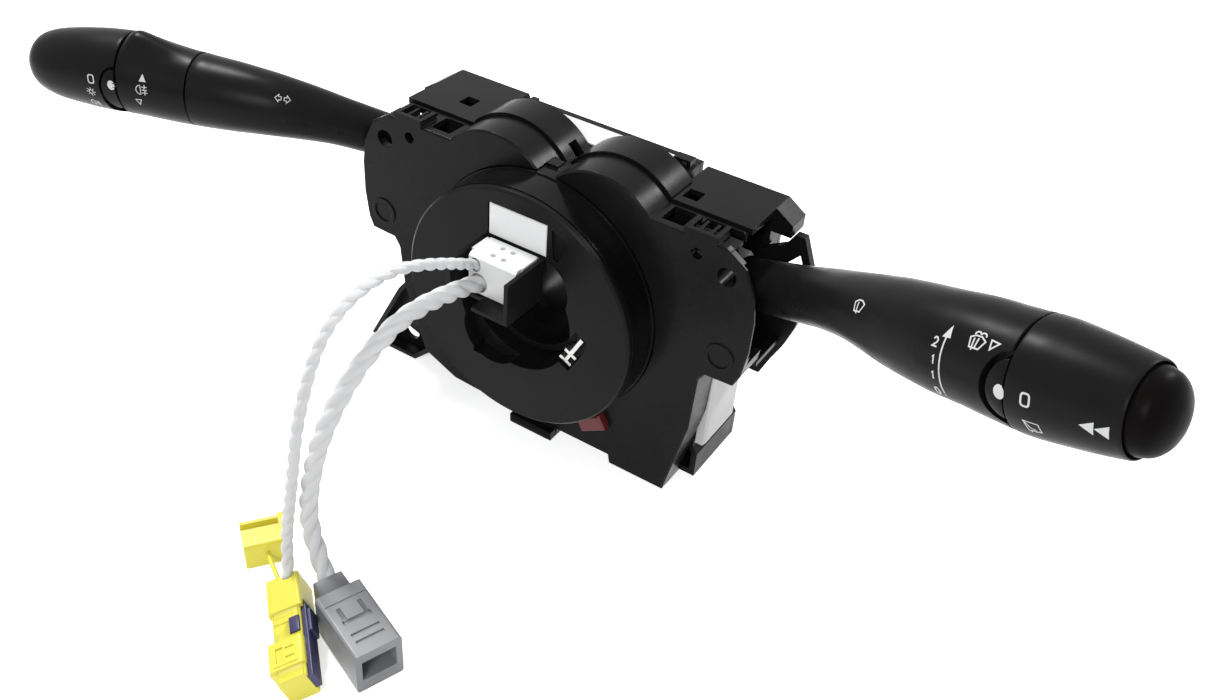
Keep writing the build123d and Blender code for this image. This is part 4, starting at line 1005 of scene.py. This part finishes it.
BEAMS = [[(0.35, y), (1.9, y - 0.25)] for y in (1.05, 0.35, -0.35, -1.05)]
# Each symbol: its name, its ground, its middle, the way it faces, its strokes and its filled outlines.
PRINTS = (
    Print("light_off_mark", KNOB, (-160.8, -45.2, 43.8), (0.29, -0.94, 0.2), [ring_of(0, 0, 1.05, 1.45, 24, 4.0)]),
    Print("side_light_mark", KNOB, (-161.7, -45.4, 38.9), (0.28, -0.94, -0.19),
          [ring_of(0, 0, 0.75, 0.75, 16), *RAYS], width=0.27),
    Print("main_light_mark", KNOB, (-162.9, -43.6, 33.9), (0.25, -0.84, -0.48),
          [[(-0.2, 1.4), *arc(-0.2, 0.0, 1.4, 90, 270), (-0.2, -1.4), (-0.2, 1.4)], *BEAMS], width=0.27),
    Print("fog_front_mark", RING, (-143.3, -37.9, 46.9), (0.36, -0.87, 0.34),
          fills=[[(-1.25, -1.2), (1.25, -1.2), (0.0, 1.5)]]),
    Print("fog_lamp_mark", RING, (-143.8, -39.0, 42.7), (0.39, -0.92, 0.04),
          [[(0.1, 1.6), *arc(0.1, 0.0, 1.6, 90, 270), (0.1, -1.6), (0.1, 1.6)],
           *[[(0.55, y), (2.5, y)] for y in (1.0, 0.0, -1.0)],
           [(1.5, 1.8), (1.8, 1.1), (1.3, 0.3), (1.8, -0.5), (1.4, -1.2), (1.6, -1.8)]], width=0.27),
    Print("fog_rear_mark", RING, (-145.1, -38.9, 37.9), (0.39, -0.88, -0.26),
          [loop((-1.0, 1.0), (1.0, 1.0), (0.0, -1.1))], width=0.27),
    Print("turn_signal_mark", LEVER, (-99.7, -15.2, 45.3), (0.61, -0.58, 0.54),
          [arrow(-0.5, -1.0), arrow(0.5, 1.0)], width=0.22),
    Print("wiper_mark", ARM, (114.7, -19.6, 56.7), (-0.66, -0.6, 0.45),
          [loop(*WINDSCREEN), [(-0.5, -2.1), (-0.6, 1.0)]]),
    Print("wiper_scale", ARM, (141.8, -38.0, 62.9), (-0.38, -0.92, 0.07),
          [[(0.35, -9.7), (0.1, -6.0), (0.0, -2.0), (0.0, 2.0), (0.15, 5.0), (0.3, 6.3)]],
          [[(-0.95, 6.0), (1.45, 6.2), (0.75, 8.9)]]),
    Print("wiper_step_digits", ARM, (141.8, -38.0, 62.9), (-0.38, -0.92, 0.07),
          [[(-2.9, 5.0), (-2.5, 5.5), (-2.0, 5.5), (-1.65, 5.0), (-1.8, 4.5), (-2.9, 3.4), (-1.6, 3.4)],
           [(-2.3, 0.75), (-1.9, 1.1), (-1.9, -1.0)], [(-2.3, -3.5), (-1.9, -3.2), (-1.9, -5.2)],
           ring_of(-1.9, -9.0, 0.6, 1.05, 20, 3.0)], width=0.4),
    Print("wash_mark", ARM, (148.7, -37.4, 72.3), (-0.42, -0.66, 0.62),
          [loop(*[(x, y - 0.5) for x, y in WINDSCREEN]), [(-0.9, -2.6), (-1.0, 0.4)], [(-0.2, -2.2), (0.1, 0.6)],
           arc(-0.55, 1.4, 0.75, 10, 190), arc(0.95, 1.4, 0.75, -10, 170)], width=0.38),
    Print("wash_pull_mark", ARM, (152.7, -39.0, 73.7), (-0.48, -0.68, 0.56),
          [loop((-1.1, 1.1), (1.2, 0.8), (-0.7, -1.2))], width=0.38),
    Print("rear_off_mark", REAR, (163.9, -46.5, 68.4), (-0.29, -0.95, 0.06),
          [ring_of(0, 0, 1.05, 1.6, 24, 3.6)], width=0.5),
    Print("rear_wiper_mark", REAR, (167.4, -46.2, 62.0), (-0.2, -0.92, -0.33),
          [loop((-2.0, 1.6), (1.7, 1.4), (2.2, -1.3), (-1.0, -1.6)), [(-1.7, 1.3), (-0.3, -0.6), (0.9, -0.9)],
           arc(0.2, -2.1, 0.7, 20, 200)], width=0.27),
    Print("rear_wash_mark", REAR, (179.6, -51.2, 70.9), (-0.28, -0.95, 0.1),
          fills=[[(-3.7, 0.1), (-0.4, 1.7), (-0.4, -1.6)], [(-0.3, 0.1), (3.0, 1.7), (3.0, -1.6)]]),
    Print("left_pointer_dot", LEFT_TIP, (-153.3, -43.2, 43.0), (0.36, -0.93, 0.06),
          fills=[ring_of(0, 0, 1.35, 1.7, 28)[:-1]]),
    Print("right_pointer_dot", RIGHT_TIP, (157.6, -44.6, 66.0), (-0.32, -0.94, -0.04),
          fills=[ring_of(0, 0, 1.5, 1.9, 28)[:-1]]),
)


# ---- leads
UPPER_ROUTE = [
    (-6.6, -25.0, 21.0), (-6.0, -45.0, 33.0), (-11.0, -66.0, 38.5), (-15.3, -86.0, 29.0),
    (-13.7, -100.7, 6.5), (-12.4, -107.4, -17.0), (-16.6, -108.6, -40.0), (-10.8, -114.6, -52.8),
]
LOWER_ROUTE = [
    (-5.0, -25.0, 15.4), (-4.4, -56.0, 26.0), (-5.6, -80.0, 20.0), (-10.4, -95.0, -1.0),
    (-13.8, -100.8, -27.0), (-12.4, -102.0, -44.0), (1.6, -108.6, -53.2),
]


@dataclass
class Lead:
    """A lead in a twisted sleeve, from the plug to its connector."""

    name: str
    node: str
    route: list[Point]
    diameter: float
    pieces: list[Piece]
    strands: int
    pitch: float
    valley: float = 0.36
    sides: int = 28
    resolution: int = 90
    lobe_power: float = 0.8

    def line(self) -> list[Vector]:
        """Read the lead's middle line from its smooth curve.

        Returns:
            The line's points in metres.
        """
        curve = bpy.data.curves.new(self.name, "CURVE")
        curve.dimensions = "3D"
        curve.resolution_u = self.resolution
        spline = curve.splines.new("NURBS")
        spline.points.add(len(self.route) - 1)
        for point, spot in zip(spline.points, self.route):
            point.co = (*(Vector(spot) * MM), 1.0)
        spline.order_u = 3
        spline.use_endpoint_u = True
        guide = bpy.data.objects.new("guide", curve)
        mesh = bpy.data.meshes.new_from_object(guide)
        points = [point.co.copy() for point in mesh.vertices]
        bpy.data.objects.remove(guide)
        bpy.data.curves.remove(curve)
        bpy.data.meshes.remove(mesh)
        return points

    def build(self) -> None:
        path = self.line()
        runs, means = headings_along(path)
        headings = [runs[0], *means, runs[-1]]
        side = headings[0].orthogonal().normalized()
        rows, done, shape = [], 0.0, bmesh.new()
        marks = shape.loops.layers.uv.new("UVMap")
        for number, (middle, heading) in enumerate(zip(path, headings)):
            if number:
                done += (middle - path[number - 1]).length
                side = headings[number - 1].rotation_difference(heading) @ side
            rise = heading.cross(side)
            twist = math.tau * done / (self.pitch * MM)
            row = []
            for step in range(self.sides):
                turn = math.tau * step / self.sides
                lobe = abs(math.cos(self.strands * (turn - twist / self.strands) / 2))
                reach = self.diameter / 2 * (1.0 - self.valley * (1.0 - lobe ** self.lobe_power))
                row.append(shape.verts.new(middle + (side * math.cos(turn) + rise * math.sin(turn)) * reach))
            rows.append((row, done))
        for (near, start), (far, stop) in zip(rows, rows[1:]):
            for step in range(self.sides):
                after = (step + 1) % self.sides
                face = shape.faces.new((near[step], near[after], far[after], far[step]))
                face.smooth = True
                spots = ((start, step), (start, step + 1), (stop, step + 1), (stop, step))
                for corner, (reached, turned) in zip(face.loops, spots):
                    corner[marks].uv = (reached / self.diameter, turned / self.sides)
        shape.faces.new(reversed(rows[0][0]))
        shape.faces.new(rows[-1][0])
        mesh = bpy.data.meshes.new(self.name)
        shape.to_mesh(mesh)
        shape.free()
        lead = Bench.added(self.name, mesh)
        Bench.place(lead, "rotor", Finish.CORD, "cord", self.node)


# ---- connectors
def lying(origin: Point, heading: Point, roll: float = 0.0) -> Matrix:
    """Frame of a connector: Z along its length, Y up from its lower side."""
    along = Vector(heading).normalized()
    side = Matrix.Rotation(math.radians(roll), 3, along) @ WORLD_UP.cross(along)
    turned = Matrix((side, along.cross(side), along)).transposed().to_4x4()
    return Matrix.Translation(Vector(origin) * MM) @ turned


class Connectors:
    """The shaped bodies of the leads' connectors."""

    YELLOW = lying((-12.2, -113.4, -55.0), (27.0, -23.5, 0.0), 20.0)
    YELLOW_CUTS = (
        ((-1.2, 5.6, 15.4), (7.2, 1.0, 0.7)), ((-1.2, 5.6, 17.6), (5.0, 1.0, 0.7)), ((2.6, 5.6, 19.5), (3.4, 1.4, 6.0)),
        ((-2.6, 6.3, 29.0), (2.2, 1.6, 5.2)), ((0.6, 6.3, 27.4), (2.6, 1.4, 1.0)), ((0.6, 6.3, 30.6), (2.6, 1.4, 1.0)),
        ((-0.8, 6.3, 33.0), (7.0, 1.0, 0.6)),
    )
    GREY = lying((-0.9, -107.8, -54.0), (33.0, -12.5, 0.0))
    GREY_CUTS = (
        ((0.0, 8.0, 12.0), (13.0, 0.9, 0.6)), ((0.0, 8.0, 25.0), (9.0, 1.4, 1.0)), ((0.0, 8.0, 28.0), (9.0, 1.4, 1.0)),
        ((-3.4, 8.0, 17.0), (1.2, 1.4, 6.0)), ((3.4, 8.0, 17.0), (1.2, 1.4, 6.0)),
    )
    INSERT = ((2.6, 5.0, 19.5), (3.2, 1.4, 5.8), 0.3)
    EDGE_ANGLE = 9.0

    def body(self, color: str, place: Matrix, cuts: tuple[Rows, ...], finish: Finish) -> Piece:
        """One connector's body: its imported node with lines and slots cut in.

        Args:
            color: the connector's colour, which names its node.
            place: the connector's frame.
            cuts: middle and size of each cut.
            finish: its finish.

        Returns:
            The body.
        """
        piece = Bench.copy_of(f"{color}_connector", f"{color}_connector_body")
        for at, size in cuts:
            Bench.carve(piece, Bench.block("cut", place, at, size))
        Bench.smooth(piece, self.EDGE_ANGLE)
        Bench.place(piece, "rotor", finish, color, f"{color}_connector")
        return piece

    def build(self) -> tuple[Piece, ...]:
        """Make the connectors' visible pieces.

        Returns:
            The yellow body, its insert and the grey body.
        """
        yellow = self.body("yellow", self.YELLOW, self.YELLOW_CUTS, Finish.YELLOW)
        insert = Bench.block("yellow_connector_insert", self.YELLOW, *self.INSERT)
        Bench.smooth(insert)
        Bench.place(insert, "rotor", Finish.BLUE, "yellow")
        return yellow, insert, self.body("grey", self.GREY, self.GREY_CUTS, Finish.GREY)


def dress_nodes() -> None:
    """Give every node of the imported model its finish."""
    for part in frame["record"]["subparts"]:
        dress(frame["nodes"][part["node"]], Finish[part["material_slot"].upper()])


def main() -> None:
    """Build the scene."""
    logging.basicConfig(level=logging.INFO, format="%(name)s: %(message)s")
    Studio().build()
    dress_nodes()
    yellow, insert, grey = Connectors().build()
    ends = [yellow, insert, frame["nodes"]["blue_latch"], frame["nodes"]["yellow_cap"]]
    Lead("upper_lead", "upper_cord", UPPER_ROUTE, 3.8 * MM, ends, 2, 5.0).build()
    Lead("lower_lead", "lower_cord", LOWER_ROUTE, 6.0 * MM, [grey], 3, 7.2).build()
    LeftStalk().build()
    RightStalk().build()
    for item in PRINTS:
        item.build()


if __name__ == "__main__":
    main()
